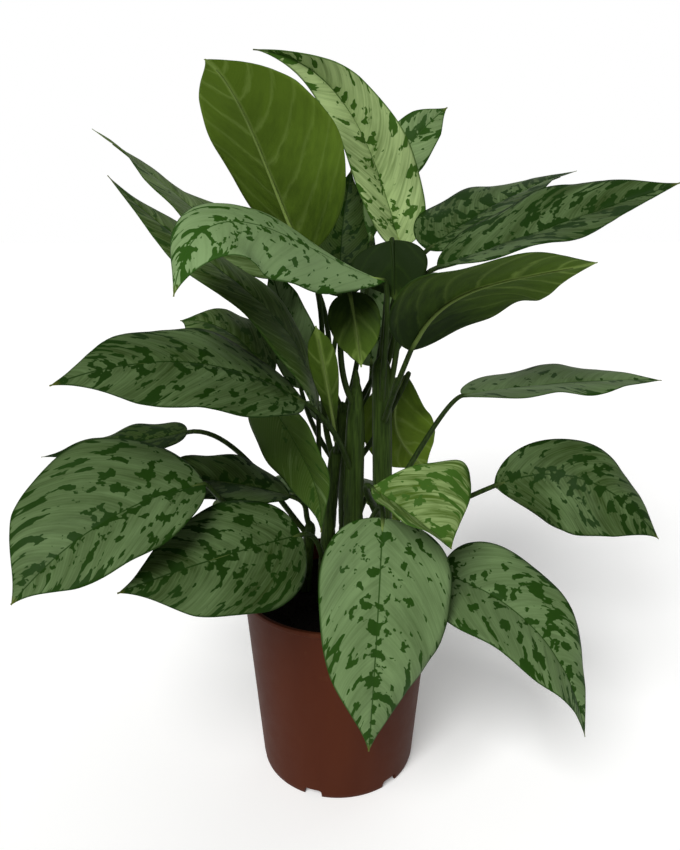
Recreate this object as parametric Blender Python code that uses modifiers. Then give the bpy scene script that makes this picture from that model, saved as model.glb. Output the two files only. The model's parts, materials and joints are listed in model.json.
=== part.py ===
"""Potted dieffenbachia: a nursery pot, its soil, five canes and the leaves on them.

Sizes and places in the tables are millimetres and degrees. x runs to the right, y away
from the front and z up. The origin is the middle of the pot's underside, on the surface
that the pot stands on. Each leaf is one solid, its stalk and its blade grown together.
"""

import math

import bmesh
import bpy
from mathutils import Matrix, Vector

MM = 0.001
GAP = 0.3

# Pot
POT_HEIGHT = 178
RIM_RADIUS = 86
RIM_DEPTH = 4
WALL_TOP_RADIUS = 83.5
WALL_FOOT_RADIUS = 70.2
WALL = 1.8
FOOT_RADIUS = 69.4
FOOT_HEIGHT = 8
FOOT_THICKNESS = 3
FLOOR_TOP = 10
BOSS_RADIUS = 12
POT_SIDES = 48
NOTCH_COUNT = 6
NOTCH_WIDTH = 16
NOTCH_HEIGHT = 7.5
NOTCH_FIRST = -108.5
DRAIN_COUNT = 6
DRAIN_RADIUS = 5
DRAIN_CIRCLE = 44

# Soil
SOIL_TOP = 158
SOIL_BUMP = 2.2
CANE_BOTTOM = 118

# Blades and stalks
BLADE = 0.9
STATIONS = 10
ACROSS = (-1, -0.5, 0, 0.5, 1)
NECK_HALF_WIDTH = 2.5
TIP_HALF_WIDTH = 0.7
STALK_RADIUS = 2.6
NECK_RADIUS = 1.9
KEEL_RADIUS = 1.1
KEEL_SHARE = 0.13
STALK_STEPS = 5

LEAF_DEFAULTS = dict(
    facing=None, stations=STATIONS, leave=None, lean=38, roll=0, twist=0, fold=(12, 12), curl=20, widest=0.36,
    wave=2.5, waves=2.5, phase=0, sides=(1, 1), rise=40, reach=40, stalk=STALK_RADIUS,
)

# Each cane: the points its middle runs through, its radius at the foot and at the top,
# and whether it ends in a pointed sheath.
CANES = {
    "cane_right": dict(path=((38, -5, CANE_BOTTOM), (38, -5, 250), (35, -4, 386)),
                       radius=(9, 8), point=14),
    "cane_middle": dict(path=((11, -15, CANE_BOTTOM), (13, -15, 250), (15, -15, 376)),
                        radius=(9, 8), point=60),
    "cane_left": dict(path=((-14, 0, CANE_BOTTOM), (-9, -4, 220), (-1, -12, 312)),
                      radius=(7.5, 5.5), point=12),
    "cane_low": dict(path=((-31, 24, CANE_BOTTOM), (-29, 18, 180), (-24, 10, 232)),
                     radius=(6, 5.5), point=10),
    "cane_back": dict(path=((8, 38, CANE_BOTTOM), (8, 41, 220), (4, 43, 332)),
                      radius=(8.5, 7), point=14),
}
CANE_RESOLUTION = 2
CANE_STEPS = 5

# Each leaf: the cane it grows from and the height it leaves it at, three or four points
# of its midrib from neck to tip, its width, where along it the width is greatest, the
# share of the width that each half has, the compass direction that it faces (its edges
# are level across it), the roll about the midrib and how it changes to the tip, and how
# far each half rises from the midrib and then curls down.
LEAVES = {
    "leaf_top_left": dict(
        cane="cane_left", foot=296, rise=60, reach=60, leave=125,
        midrib=((-26, 8, 464), (-57, -15, 543), (-76, -52, 587), (-84, -78, 596)),
        width=101, widest=0.41, sides=(1.25, 0.8), facing=262, roll=12, twist=-51,
        fold=(17, 16), wave=2),
    "leaf_top_arched": dict(
        cane="cane_right", foot=356, rise=40, reach=30, leave=120,
        midrib=((54, 66, 463), (33, 78, 526), (-2, 68, 586), (-65, 42, 615)),
        width=66, widest=0.27, sides=(0.9, 1.02), facing=75, roll=-38, twist=-19,
        fold=(43, 44), curl=30, wave=3),
    "leaf_top_behind": dict(
        cane="cane_back", foot=318, rise=50, reach=50,
        midrib=((29, 84, 465), (46, 112, 521), (97, 130, 578)),
        width=51, widest=0.61, sides=(1.04, 0.96), facing=80, roll=9, twist=-7,
        fold=(12, 16)),
    "leaf_left_high": dict(
        cane="cane_back", foot=290, rise=40, reach=50,
        midrib=((-37, 30, 452), (-122, 42, 500), (-163, 44, 534), (-195, 45, 558)),
        width=70, widest=0.34, sides=(1.07, 0.93), facing=180, roll=7, twist=-57,
        fold=(6, 17)),
    "leaf_left_rising": dict(
        cane="cane_left", foot=272, rise=30, reach=40,
        midrib=((-16, -16, 341), (-65, -40, 441), (-126, -45, 491), (-161, -45, 525)),
        width=80, widest=0.4, sides=(1.01, 0.99), facing=180, roll=10, twist=9,
        fold=(8, 7)),
    "leaf_left_silver": dict(
        cane="cane_right", foot=340, rise=40, reach=8,
        midrib=((35, -20, 448), (-27, -60, 481), (-79, -110, 496), (-101, -140, 456)),
        width=81, widest=0.52, sides=(1.2, 0.9), facing=190, roll=24, twist=33,
        fold=(3, 2), curl=30),
    "leaf_right_underside": dict(
        cane="cane_right", foot=325, rise=30, reach=35,
        midrib=((53, -68, 405), (87, -95, 451), (124, -118, 466), (163, -125, 475)),
        width=101, widest=0.46, sides=(0.97, 1.03), facing=300, roll=16, twist=22,
        fold=(15, 5), curl=25),
    "leaf_right_high": dict(
        cane="cane_right", foot=368, rise=30, reach=40, leave=50, lean=50,
        midrib=((72, 21, 466), (128, 64, 496), (209, 103, 525)),
        width=73, sides=(1.08, 0.92), facing=40, roll=-7, twist=30,
        fold=(15, 21)),
    "leaf_right_broad": dict(
        cane="cane_right", foot=346, rise=30, reach=40, leave=-25,
        midrib=((77, -8, 456), (158, -20, 487), (242, -43, 520)),
        width=92, widest=0.37, sides=(1.02, 0.98), facing=350, roll=-23, twist=-23,
        fold=(20, 24)),
    "leaf_crown_nodding": dict(
        cane="cane_right", foot=378, rise=40, reach=10, lean=4,
        midrib=((42, -2, 476), (43, -14, 454), (44, -14, 432)),
        width=70, widest=0.41, sides=(0.93, 0.75), facing=90, roll=-4, twist=6,
        fold=(14, 9), wave=0),
    "leaf_left_middle": dict(
        cane="cane_middle", foot=286, rise=20, reach=40,
        midrib=((-25, -60, 363), (-102, -100, 404), (-184, -140, 399)),
        width=89, widest=0.42, sides=(1.07, 0.93), facing=195, roll=25, twist=20,
        fold=(6, 5), curl=15),
    "leaf_left_behind": dict(
        cane="cane_left", foot=246, rise=40, reach=40,
        midrib=((-54, -10, 368), (-90, 0, 405), (-130, 20, 409)),
        width=76, widest=0.35, sides=(1.08, 0.92), facing=180, roll=21, twist=8,
        fold=(12, 9)),
    "leaf_left_hanging": dict(
        cane="cane_left", foot=262, rise=60, reach=24,
        midrib=((-56, -38, 364), (-37, -46, 333), (-17, -60, 295), (-13, -75, 263)),
        width=72, widest=0.27, sides=(0.97, 1.03), facing=250, roll=-5, twist=2,
        fold=(43, 0)),
    "leaf_left_dark": dict(
        cane="cane_low", foot=216, rise=40, reach=40,
        midrib=((-124, -10, 322), (-170, -15, 314), (-243, -20, 304)),
        width=70, widest=0.32, facing=180, roll=4),
    "leaf_left_wide": dict(
        cane="cane_low", foot=200, rise=60, reach=6, lean=80,
        midrib=((-98, -88, 309), (-156, -125, 300), (-218, -165, 254)),
        width=110, widest=0.44, sides=(0.79, 1.21), facing=205, roll=33, twist=9,
        fold=(17, 11), curl=15),
    "leaf_left_small": dict(
        cane="cane_low", foot=226, rise=30, reach=20,
        midrib=((-39, -29, 273), (-89, -35, 288), (-156, -35, 292)),
        width=61, widest=0.44, sides=(1.03, 0.97), facing=185, roll=18, twist=17,
        fold=(19, 19)),
    "leaf_left_low": dict(
        cane="cane_left", foot=190, rise=30, reach=20,
        midrib=((-28, -75, 261), (-79, -115, 265), (-151, -150, 254)),
        width=90, sides=(1.08, 0.92), facing=205, roll=37, twist=-13,
        fold=(4, 6), curl=15),
    "leaf_front": dict(
        cane="cane_middle", foot=205, rise=40, reach=30,
        midrib=((34, -85, 280), (29, -130, 222), (23, -150, 121)),
        width=104, widest=0.3, sides=(1.14, 0.86), facing=270, roll=15, twist=18,
        fold=(5, 5), curl=25),
    "leaf_young_folded": dict(
        cane="cane_right", foot=232, rise=30, reach=20, stalk=4,
        midrib=((26, -74, 300), (52, -98, 290), (82, -116, 270)),
        width=97, widest=0.57, sides=(1.29, 0.62), facing=325, roll=-22, twist=27,
        fold=(16, 55)),
    "leaf_right_low": dict(
        cane="cane_right", foot=172, rise=30, reach=30,
        midrib=((82, -55, 217), (151, -100, 193), (191, -125, 113)),
        width=90, widest=0.27, facing=305, roll=-4, twist=50,
        fold=(17, 22), curl=25),
    "leaf_right_round": dict(
        cane="cane_right", foot=208, rise=40, reach=40,
        midrib=((126, -40, 287), (177, -60, 304), (246, -80, 260)),
        width=77, widest=0.47, sides=(0.88, 1.12), facing=0, roll=-46, twist=30,
        fold=(1, -8)),
    "leaf_right_middle": dict(
        cane="cane_right", foot=250, rise=40, reach=15,
        midrib=((107, 25, 343), (183, 35, 350), (284, 45, 351)),
        width=79, widest=0.32, sides=(1.04, 0.96), facing=0, roll=-5, twist=-17,
        fold=(16, 18), curl=25),
    "leaf_right_inner": dict(
        cane="cane_back", foot=262, rise=60, reach=20,
        midrib=((59, 30, 359), (51, 45, 312), (84, 60, 261)),
        width=67, widest=0.52, sides=(0.97, 1.03), facing=90, roll=-4, twist=4,
        fold=(12, 10), curl=25),
    "leaf_spear": dict(
        cane="cane_left", foot=302, rise=6, reach=6, stalk=2.4,
        midrib=((-1, -24, 319), (-8, -42, 371), (-16, -54, 420)),
        width=22, widest=0.7, facing=270,
        fold=(20, 20), wave=0),
    "leaf_inner_nodding": dict(
        cane="cane_middle", foot=345, rise=50, reach=12,
        midrib=((9, -20, 439), (14, -35, 413), (18, -40, 385)),
        width=40, facing=90,
        curl=25, wave=0),
    "leaf_back_tall": dict(
        stations=8, cane="cane_back", foot=324, rise=40, reach=40, leave=150,
        midrib=((2, 72, 420), (4, 104, 474), (12, 122, 526)),
        width=62, facing=95),
    "leaf_back_right": dict(
        stations=8, cane="cane_back", foot=306, rise=40, reach=30,
        midrib=((48, 75, 389), (63, 130, 430), (59, 200, 395)),
        width=80, facing=75),
    "leaf_back_high": dict(
        stations=8, cane="cane_back", foot=276, rise=50, reach=30,
        midrib=((31, 90, 352), (33, 150, 384), (43, 215, 330)),
        width=70, facing=95),
    "leaf_back_low_left": dict(
        stations=8, cane="cane_back", foot=172, rise=30, reach=30,
        midrib=((-40, 70, 230), (-85, 120, 215), (-140, 165, 150)),
        width=84, facing=140),
    "leaf_back_low_right": dict(
        stations=8, cane="cane_back", foot=186, rise=30, reach=30,
        midrib=((32, 78, 235), (45, 130, 215), (62, 175, 140)),
        width=84, facing=70),
    "leaf_back_middle": dict(
        stations=8, cane="cane_back", foot=228, rise=30, reach=30,
        midrib=((2, 78, 296), (2, 140, 300), (8, 200, 240)),
        width=74, facing=92),
    "leaf_back_left": dict(
        stations=8, cane="cane_back", foot=262, rise=40, reach=20,
        midrib=((-32, 34, 347), (-43, 48, 395), (-60, 60, 452)),
        width=46, facing=110,
        fold=(35, 35)),
}


for old in list(bpy.data.objects):
    bpy.data.objects.remove(old)

parts = bpy.data.collections.new("potted_dieffenbachia")
cutters = bpy.data.collections.new("cutters")
bpy.context.scene.collection.children.link(parts)
bpy.context.scene.collection.children.link(cutters)


def material(name, colour, roughness):
    """A plain finish: linear colour and roughness."""
    finish = bpy.data.materials.new(name)
    finish.use_nodes = True
    shader = finish.node_tree.nodes["Principled BSDF"]
    shader.inputs["Base Color"].default_value = (*colour, 1)
    shader.inputs["Roughness"].default_value = roughness
    shader.inputs["Metallic"].default_value = 0
    return finish


POT_PLASTIC = material("reddish_brown_plastic", (0.15, 0.045, 0.025), 0.55)
SOIL_DARK = material("potting_soil", (0.012, 0.009, 0.007), 0.95)
CANE_GREEN = material("cane_green", (0.16, 0.24, 0.08), 0.5)
LEAF_GREEN = material("leaf_green", (0.10, 0.22, 0.08), 0.45)


def place(name, mesh, finish, collection=parts):
    """A named object for a mesh, shaded smooth except at its sharp edges."""
    mesh.materials.clear()
    mesh.materials.append(finish)
    piece = bpy.data.objects.new(name, mesh)
    collection.objects.link(piece)
    mesh.shade_smooth()
    mesh.set_sharp_from_angle(angle=math.radians(40))
    return piece


def as_cutter(piece):
    """Hides a guide or a cutter and moves it to the cutters' collection."""
    for owner in list(piece.users_collection):
        owner.objects.unlink(piece)
    cutters.objects.link(piece)
    piece.hide_render = True
    piece.display_type = "WIRE"
    return piece


def evaluated_mesh(piece):
    """The mesh that a piece's modifiers make, as a mesh of its own."""
    bpy.context.view_layer.update()
    graph = bpy.context.evaluated_depsgraph_get()
    return bpy.data.meshes.new_from_object(piece.evaluated_get(graph))


def turned(name, profile, finish, sides):
    """A turned solid: the profile, in mm as (radius, height), spun round the z axis."""
    mesh = bpy.data.meshes.new(name)
    points = [(radius * MM, 0, height * MM) for radius, height in profile]
    edges = [(i, i + 1) for i in range(len(points) - 1)]
    mesh.from_pydata(points, edges, [])
    piece = place(name, mesh, finish)
    screw = piece.modifiers.new("turn", "SCREW")
    screw.angle = math.radians(360)
    screw.steps = sides
    screw.render_steps = sides
    screw.use_merge_vertices = True
    screw.merge_threshold = 0.00001
    screw.use_smooth_shade = True
    return piece


def cut(piece, cutter):
    """Takes the cutter's shape out of the piece."""
    boolean = piece.modifiers.new("cut_" + cutter.name, "BOOLEAN")
    boolean.operation = "DIFFERENCE"
    boolean.object = cutter


def spline_mesh(name, points, radii, resolution):
    """A round tube through the points, in mm, as a closed mesh."""
    curve = bpy.data.curves.new(name, "CURVE")
    curve.dimensions = "3D"
    curve.bevel_depth = MM
    curve.bevel_resolution = resolution
    curve.use_fill_caps = True
    run = curve.splines.new("POLY")
    run.points.add(len(points) - 1)
    for spot, point, radius in zip(run.points, points, radii):
        spot.co = (*(Vector(point) * MM), 1)
        spot.radius = radius
    holder = bpy.data.objects.new(name, curve)
    bpy.context.scene.collection.objects.link(holder)
    mesh = evaluated_mesh(holder)
    bpy.data.objects.remove(holder)
    shell = bmesh.new()
    shell.from_mesh(mesh)
    bmesh.ops.remove_doubles(shell, verts=shell.verts, dist=0.00001)
    bmesh.ops.recalc_face_normals(shell, faces=shell.faces)
    shell.to_mesh(mesh)
    shell.free()
    return mesh


def smooth_run(points, count):
    """Points spread evenly by parameter on the smooth curve through three or four points."""
    stops = [0.0]
    for before, after in zip(points, points[1:]):
        stops.append(stops[-1] + (Vector(after) - Vector(before)).length)
    stops = [stop / stops[-1] for stop in stops]
    run = []
    for step in range(count):
        at = step / (count - 1)
        spot = Vector((0, 0, 0))
        for i, point in enumerate(points):
            weight = 1.0
            for j, stop in enumerate(stops):
                if j != i:
                    weight *= (at - stop) / (stops[i] - stop)
            spot += weight * Vector(point)
        run.append(spot)
    return run


def at_share(run, share):
    """The point a share of the way along a run of points, by its length."""
    lengths = [(b - a).length for a, b in zip(run, run[1:])]
    left = max(0.0, min(1.0, share)) * sum(lengths)
    for a, b, length in zip(run, run[1:], lengths):
        if left <= length:
            return a.lerp(b, left / length)
        left -= length
    return run[-1].copy()


def heading_at(run, share):
    """The direction of a run of points at a share of its length."""
    step = 0.02
    return (at_share(run, share + step) - at_share(run, share - step)).normalized()


def cane_points(cane, grow=0.0):
    """The points and radii of a cane, swollen by grow all over."""
    run = smooth_run(cane["path"], 40)
    height = (run[-1] - run[0]).length
    low, high = cane["radius"]
    start = 1 - cane["point"] / height
    shares = [start * step / CANE_STEPS for step in range(CANE_STEPS + 1)]
    shares += [start + (1 - start) * bit for bit in (0.45, 0.8, 1.0)]
    shrink = [1.0] * (CANE_STEPS + 1) + [0.82, 0.5, 0.14]
    points = [at_share(run, share) for share in shares]
    radii = [(low + (high - low) * share) * bit + grow for share, bit in zip(shares, shrink)]
    points[0].z -= grow
    points[-1].z += grow
    return points, radii


def cane_axis(cane, height):
    """The middle of a cane at a height."""
    run = smooth_run(cane["path"], 40)
    for below, above in zip(run, run[1:]):
        if above.z >= height:
            return below.lerp(above, (height - below.z) / (above.z - below.z))
    return run[-1].copy()


def blade_half_width(share, width, widest):
    """Half the blade's width a share of the way along it: round base, drawn-out tip."""
    base_power = 0.48
    tip_power = 0.85
    natural = base_power / (base_power + tip_power)
    t = share ** (math.log(natural) / math.log(widest))
    peak = natural ** base_power * (1 - natural) ** tip_power
    outline = t ** base_power * (1 - t) ** tip_power / peak
    drawn = 1 - 0.75 * max(0.0, (t - 0.7) / 0.3) ** 1.5
    least = NECK_HALF_WIDTH if share < 0.5 else TIP_HALF_WIDTH
    return max(outline * drawn * width / 2, least)


def blade_frames(leaf):
    """For each station of a blade: share, middle, forward, sideways and upward."""
    run = smooth_run(leaf["midrib"], 120)
    facing = leaf["facing"]
    if facing is None:
        span = run[-1] - run[0]
        facing = math.degrees(math.atan2(span.y, span.x))
    ahead = Vector((math.cos(math.radians(facing)), math.sin(math.radians(facing)), 0))
    level = ahead.cross(Vector((0, 0, 1)))
    frames = []
    for step in range(leaf["stations"]):
        even = step / (leaf["stations"] - 1)
        share = even - 0.09 * math.sin(2 * math.pi * even)
        forward = heading_at(run, share)
        side = (level - forward * level.dot(forward)).normalized()
        roll = math.radians(leaf["roll"] + leaf["twist"] * (share - 0.5))
        side = Matrix.Rotation(-roll, 3, forward) @ side
        frames.append((share, at_share(run, share), forward, side, side.cross(forward)))
    return frames


def blade_point(leaf, frame, across):
    """A point of the blade: across is -1 at its left margin and 1 at its right."""
    share, middle, _, side, upward = frame
    half = blade_half_width(share, leaf["width"], leaf["widest"])
    half *= leaf["sides"][0 if across < 0 else 1]
    fold = math.radians(leaf["fold"][0 if across < 0 else 1])
    curl = math.radians(leaf["curl"])
    out = abs(across)
    flat = half * (math.sin(fold) - math.sin(fold - curl * out)) / curl
    lift = half * (math.cos(fold - curl * out) - math.cos(fold)) / curl
    ripple = leaf["wave"] * math.sin(math.pi * share) * out * out
    shift = 1.7 if across > 0 else 0
    lift += ripple * math.sin(2 * math.pi * leaf["waves"] * share + leaf["phase"] + shift)
    return middle + side * math.copysign(flat, across) + upward * lift


def blade_mesh(name, leaf, frames):
    """The blade as an open sheet of triangles."""
    rows = [[blade_point(leaf, frame, across) * MM for across in ACROSS] for frame in frames]
    mesh = bpy.data.meshes.new(name)
    wide = len(ACROSS)
    faces = []
    for i in range(len(rows) - 1):
        for j in range(wide - 1):
            a, b = i * wide + j, i * wide + j + 1
            c, d = (i + 1) * wide + j + 1, (i + 1) * wide + j
            faces += [(a, b, c), (a, c, d)]
    mesh.from_pydata([point for row in rows for point in row], [], faces)
    return mesh


def stalk_points(leaf, frames):
    """The stalk from inside its cane to the neck, and a little on under the midrib."""
    foot = cane_axis(CANES[leaf["cane"]], leaf["foot"])
    neck = frames[0][1]
    forward = frames[0][2]
    outward = Vector((neck.x - foot.x, neck.y - foot.y, 0)).normalized()
    if leaf["leave"] is not None:
        turn = math.radians(leaf["leave"])
        outward = Vector((math.cos(turn), math.sin(turn), 0))
    lean = math.radians(leaf["lean"])
    leave = outward * math.sin(lean) + Vector((0, 0, math.cos(lean)))
    first = foot + leave * leaf["rise"]
    second = neck - forward * leaf["reach"]
    points = []
    radii = []
    for step in range(STALK_STEPS + 1):
        t = step / STALK_STEPS
        points.append((1 - t) ** 3 * foot + 3 * (1 - t) ** 2 * t * first
                      + 3 * (1 - t) * t * t * second + t ** 3 * neck)
        radii.append(leaf["stalk"] + (NECK_RADIUS - leaf["stalk"]) * t)
    run = smooth_run(leaf["midrib"], 120)
    points.append(at_share(run, KEEL_SHARE) - frames[1][4] * KEEL_RADIUS * 0.5)
    radii.append(KEEL_RADIUS)
    return points, radii


# The pot: a thin turned shell with a raised floor, a foot ring with notches, a flat boss
# in the middle of its underside and round drain holes.
inner_top = WALL_TOP_RADIUS - WALL
inner_foot = WALL_FOOT_RADIUS - WALL
pot = turned("pot", (
    (0, FLOOR_TOP),
    (inner_foot, FLOOR_TOP),
    (inner_top, POT_HEIGHT - RIM_DEPTH - 2),
    (inner_top + 0.6, POT_HEIGHT - 0.8),
    (inner_top + 1.4, POT_HEIGHT),
    (RIM_RADIUS - 0.8, POT_HEIGHT),
    (RIM_RADIUS, POT_HEIGHT - 0.8),
    (RIM_RADIUS, POT_HEIGHT - RIM_DEPTH),
    (WALL_TOP_RADIUS, POT_HEIGHT - RIM_DEPTH - 1.2),
    (WALL_FOOT_RADIUS, 4),
    (FOOT_RADIUS, 1.2),
    (FOOT_RADIUS - 1.2, 0),
    (FOOT_RADIUS - FOOT_THICKNESS, 0),
    (FOOT_RADIUS - FOOT_THICKNESS, FOOT_HEIGHT),
    (BOSS_RADIUS + 1, FOOT_HEIGHT),
    (BOSS_RADIUS, 0),
    (0, 0),
), POT_PLASTIC, POT_SIDES)

for number in range(NOTCH_COUNT):
    angle = math.radians(NOTCH_FIRST + number * 360 / NOTCH_COUNT)
    bpy.ops.mesh.primitive_cube_add(size=1)
    notch = as_cutter(bpy.context.object)
    notch.name = f"notch_{number + 1}"
    deep = 16
    tall = 2 * NOTCH_HEIGHT
    notch.data.transform(Matrix.Diagonal((deep * MM, NOTCH_WIDTH * MM, tall * MM, 1)))
    notch.location = Vector((math.cos(angle), math.sin(angle), 0)) * FOOT_RADIUS * MM
    notch.rotation_euler.z = angle
    rounding = notch.modifiers.new("rounding", "BEVEL")
    rounding.width = 3 * MM
    rounding.segments = 2
    cut(pot, notch)

for number in range(DRAIN_COUNT):
    angle = math.radians(number * 360 / DRAIN_COUNT)
    spot = Vector((math.cos(angle), math.sin(angle), 0)) * DRAIN_CIRCLE
    spot.z = (FOOT_HEIGHT + FLOOR_TOP) / 2
    bpy.ops.mesh.primitive_cylinder_add(
        vertices=12, radius=DRAIN_RADIUS * MM, depth=6 * MM, location=spot * MM)
    drain = as_cutter(bpy.context.object)
    drain.name = f"drain_{number + 1}"
    cut(pot, drain)


def pot_inside(height):
    """The pot's inner radius at a height."""
    top = POT_HEIGHT - RIM_DEPTH - 2
    share = (height - FLOOR_TOP) / (top - FLOOR_TOP)
    return inner_foot + (inner_top - inner_foot) * share


# The soil: a turned body that fills the pot, with an uneven top, and a hole for each cane.
soil_foot = FLOOR_TOP + GAP
soil_rings = [radius * (pot_inside(SOIL_TOP) - GAP) for radius in (0, 0.4, 0.75, 1)]
soil = turned("soil", (
    *[(radius, SOIL_TOP) for radius in soil_rings],
    (pot_inside(soil_foot) - GAP, soil_foot),
    (0, soil_foot),
), SOIL_DARK, POT_SIDES)
level_soil = evaluated_mesh(soil)
soil.modifiers.clear()
soil.data = level_soil
for vertex in level_soil.vertices:
    if vertex.co.z > (SOIL_TOP - 1) * MM:
        x, y = vertex.co.x / MM, vertex.co.y / MM
        from_wall = 1 - math.hypot(x, y) / soil_rings[-1]
        hump = math.sin(x / 9 + 1) * math.cos(y / 11) + 0.5 * math.sin((x + y) / 6)
        vertex.co.z += SOIL_BUMP * MM * hump * min(1, from_wall * 4)

cane_cutters = {}
for name, cane in CANES.items():
    points, radii = cane_points(cane)
    place(name, spline_mesh(name, points, radii, CANE_RESOLUTION), CANE_GREEN)
    points, radii = cane_points(cane, GAP)
    swollen = place(name + "_hole", spline_mesh(name, points, radii, CANE_RESOLUTION), CANE_GREEN)
    cane_cutters[name] = as_cutter(swollen)
    cut(soil, swollen)

for name, choices in LEAVES.items():
    leaf = {**LEAF_DEFAULTS, **choices}
    frames = blade_frames(leaf)
    blade = place(name + "_blade", blade_mesh(name, leaf, frames), LEAF_GREEN)
    sheet = blade.modifiers.new("thickness", "SOLIDIFY")
    sheet.thickness = BLADE * MM
    sheet.offset = 0
    stalk_path, stalk_radii = stalk_points(leaf, frames)
    stalk = place(name + "_stalk", spline_mesh(name, stalk_path, stalk_radii, 1), LEAF_GREEN)
    grown = blade.modifiers.new("stalk", "BOOLEAN")
    grown.operation = "UNION"
    grown.object = stalk
    cut(blade, cane_cutters[leaf["cane"]])
    whole = evaluated_mesh(blade)
    whole.name = name
    for scrap in (blade, stalk):
        bpy.data.objects.remove(scrap)
    place(name, whole, LEAF_GREEN)
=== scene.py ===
# %% [markdown]
# # A potted dieffenbachia
#
# This lesson dresses a house plant: a moulded nursery pot, its soil, five stems and
# thirty-two variegated leaves. The frame that it starts from holds one plain solid for
# each piece, at its real size and place. Each cell below makes one kind of piece or one
# finish, and hides the plain solid that it stands for.
#
# The frame is in metres, with z up. The values in this file are millimetres, as a
# gardener would measure them, and `MM` turns them to metres.

# %% The frame
import json
import math

import bpy
from mathutils import Matrix, Vector

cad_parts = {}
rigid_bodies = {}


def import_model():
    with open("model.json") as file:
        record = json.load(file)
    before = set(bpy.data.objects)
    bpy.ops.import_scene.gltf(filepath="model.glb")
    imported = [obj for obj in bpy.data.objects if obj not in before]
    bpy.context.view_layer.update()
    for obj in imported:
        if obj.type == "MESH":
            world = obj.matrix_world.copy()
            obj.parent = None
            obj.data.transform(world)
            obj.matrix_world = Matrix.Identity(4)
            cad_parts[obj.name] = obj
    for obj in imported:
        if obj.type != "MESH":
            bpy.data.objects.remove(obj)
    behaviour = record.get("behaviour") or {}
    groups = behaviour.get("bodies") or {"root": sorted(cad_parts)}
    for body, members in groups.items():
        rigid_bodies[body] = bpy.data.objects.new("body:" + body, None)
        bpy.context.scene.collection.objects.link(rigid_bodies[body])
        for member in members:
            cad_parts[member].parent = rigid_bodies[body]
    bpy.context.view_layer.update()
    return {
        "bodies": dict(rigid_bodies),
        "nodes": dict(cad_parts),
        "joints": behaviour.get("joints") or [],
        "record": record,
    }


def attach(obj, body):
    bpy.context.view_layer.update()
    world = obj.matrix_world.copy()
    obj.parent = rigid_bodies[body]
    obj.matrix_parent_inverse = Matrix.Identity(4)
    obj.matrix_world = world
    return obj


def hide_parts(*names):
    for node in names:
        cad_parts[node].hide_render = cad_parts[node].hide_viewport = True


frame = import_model()
MM = 0.001
scene = bpy.context.scene
print("plain solids in the frame:", len(frame["nodes"]))

# %% [markdown]
# ## The camera
#
# A camera's place can be found by eye or worked out. Here it was worked out: the pot's
# rim and base are circles of known size, and how flat they look in a picture gives the
# camera's height and tilt. The focal length is kept in pixels of the picture, which is
# how such a sum is done, and turned to the lens that Blender asks for.

# %% Camera
IMAGE_HEIGHT = 850
FOCAL_PIXELS = 800
SENSOR = 36
CAMERA_PLACE = (1.8, -632, 540)
CAMERA_TILT = 18.8


def placed(name, data):
    """A new object in the scene."""
    made = bpy.data.objects.new(name, data)
    scene.collection.objects.link(made)
    return made


camera_data = bpy.data.cameras.new("camera")
camera_data.sensor_width = SENSOR
camera_data.lens = SENSOR * FOCAL_PIXELS / IMAGE_HEIGHT
camera = placed("camera", camera_data)
camera.location = Vector(CAMERA_PLACE) * MM
camera.rotation_euler = (math.radians(90 - CAMERA_TILT), 0, 0)
scene.camera = camera
print("lens", round(camera_data.lens, 2), "mm")

# %% [markdown]
# ## Colours and nodes
#
# Colours are written as sRGB hex values, because that is what a colour picker gives.
# Shaders want linear light, so one function turns them. A second function adds any node
# to any tree, for materials and for Geometry Nodes alike: it takes the node's own
# settings by name, and for its sockets a value, a hex colour, or other nodes to link.
# Two more open and close a material. The last makes the one pattern that this plant
# repeats everywhere: something that comes back at an even spacing.

# %% Colour and node helpers


def linear(code):
    """The linear colour of an sRGB hex value, with full alpha."""
    parts = [int(code[i:i + 2], 16) / 255 for i in (1, 3, 5)]
    low, high = 0.04045, 2.4
    return (*[c / 12.92 if c <= low else ((c + 0.055) / 1.055) ** high for c in parts], 1)


def add(tree, kind, sockets=(), **settings):
    """Adds a node; its sockets, in order or by name, get values, hex colours or links."""
    node = tree.nodes.new(kind)
    for name, value in settings.items():
        setattr(node, name, value)
    for key, wanted in sockets.items() if isinstance(sockets, dict) else enumerate(sockets):
        named = [s for s in node.inputs if s.enabled and s.name == key]
        socket = named[0] if named else node.inputs[key]
        for value in wanted if isinstance(wanted, list) else [wanted]:
            if isinstance(value, bpy.types.Node):
                value = next(out for out in value.outputs if out.enabled)
            if isinstance(value, bpy.types.NodeSocket):
                tree.links.new(value, socket)
            else:
                socket.default_value = linear(value) if socket.type == "RGBA" else value
    return node


def new_skin(name, **constants):
    """A material, its tree and its shader, with the shader's constants set on it."""
    skin = bpy.data.materials.new(name)
    skin.use_nodes = True
    tree = skin.node_tree
    shader = tree.nodes["Principled BSDF"]
    for label, value in constants.items():
        shader.inputs[label.replace("_", " ")].default_value = value
    return skin, tree, shader


def finish_skin(tree, shader, colour, layers, relief, strength, depth, gloss=None):
    """Lays colours over the first, each by its factor, and links colour, relief and gloss."""
    for factor, upper in layers:
        colour = add(tree, "ShaderNodeMix", {"Factor": factor, "A": colour, "B": upper},
                     data_type="RGBA")
    tree.links.new(colour.outputs[2], shader.inputs["Base Color"])
    bump = add(tree, "ShaderNodeBump", {"Strength": strength, "Distance": depth * MM, "Height": relief})
    tree.links.new(bump.outputs[0], shader.inputs["Normal"])
    if gloss:
        tree.links.new(gloss.outputs[0], shader.inputs["Roughness"])


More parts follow.
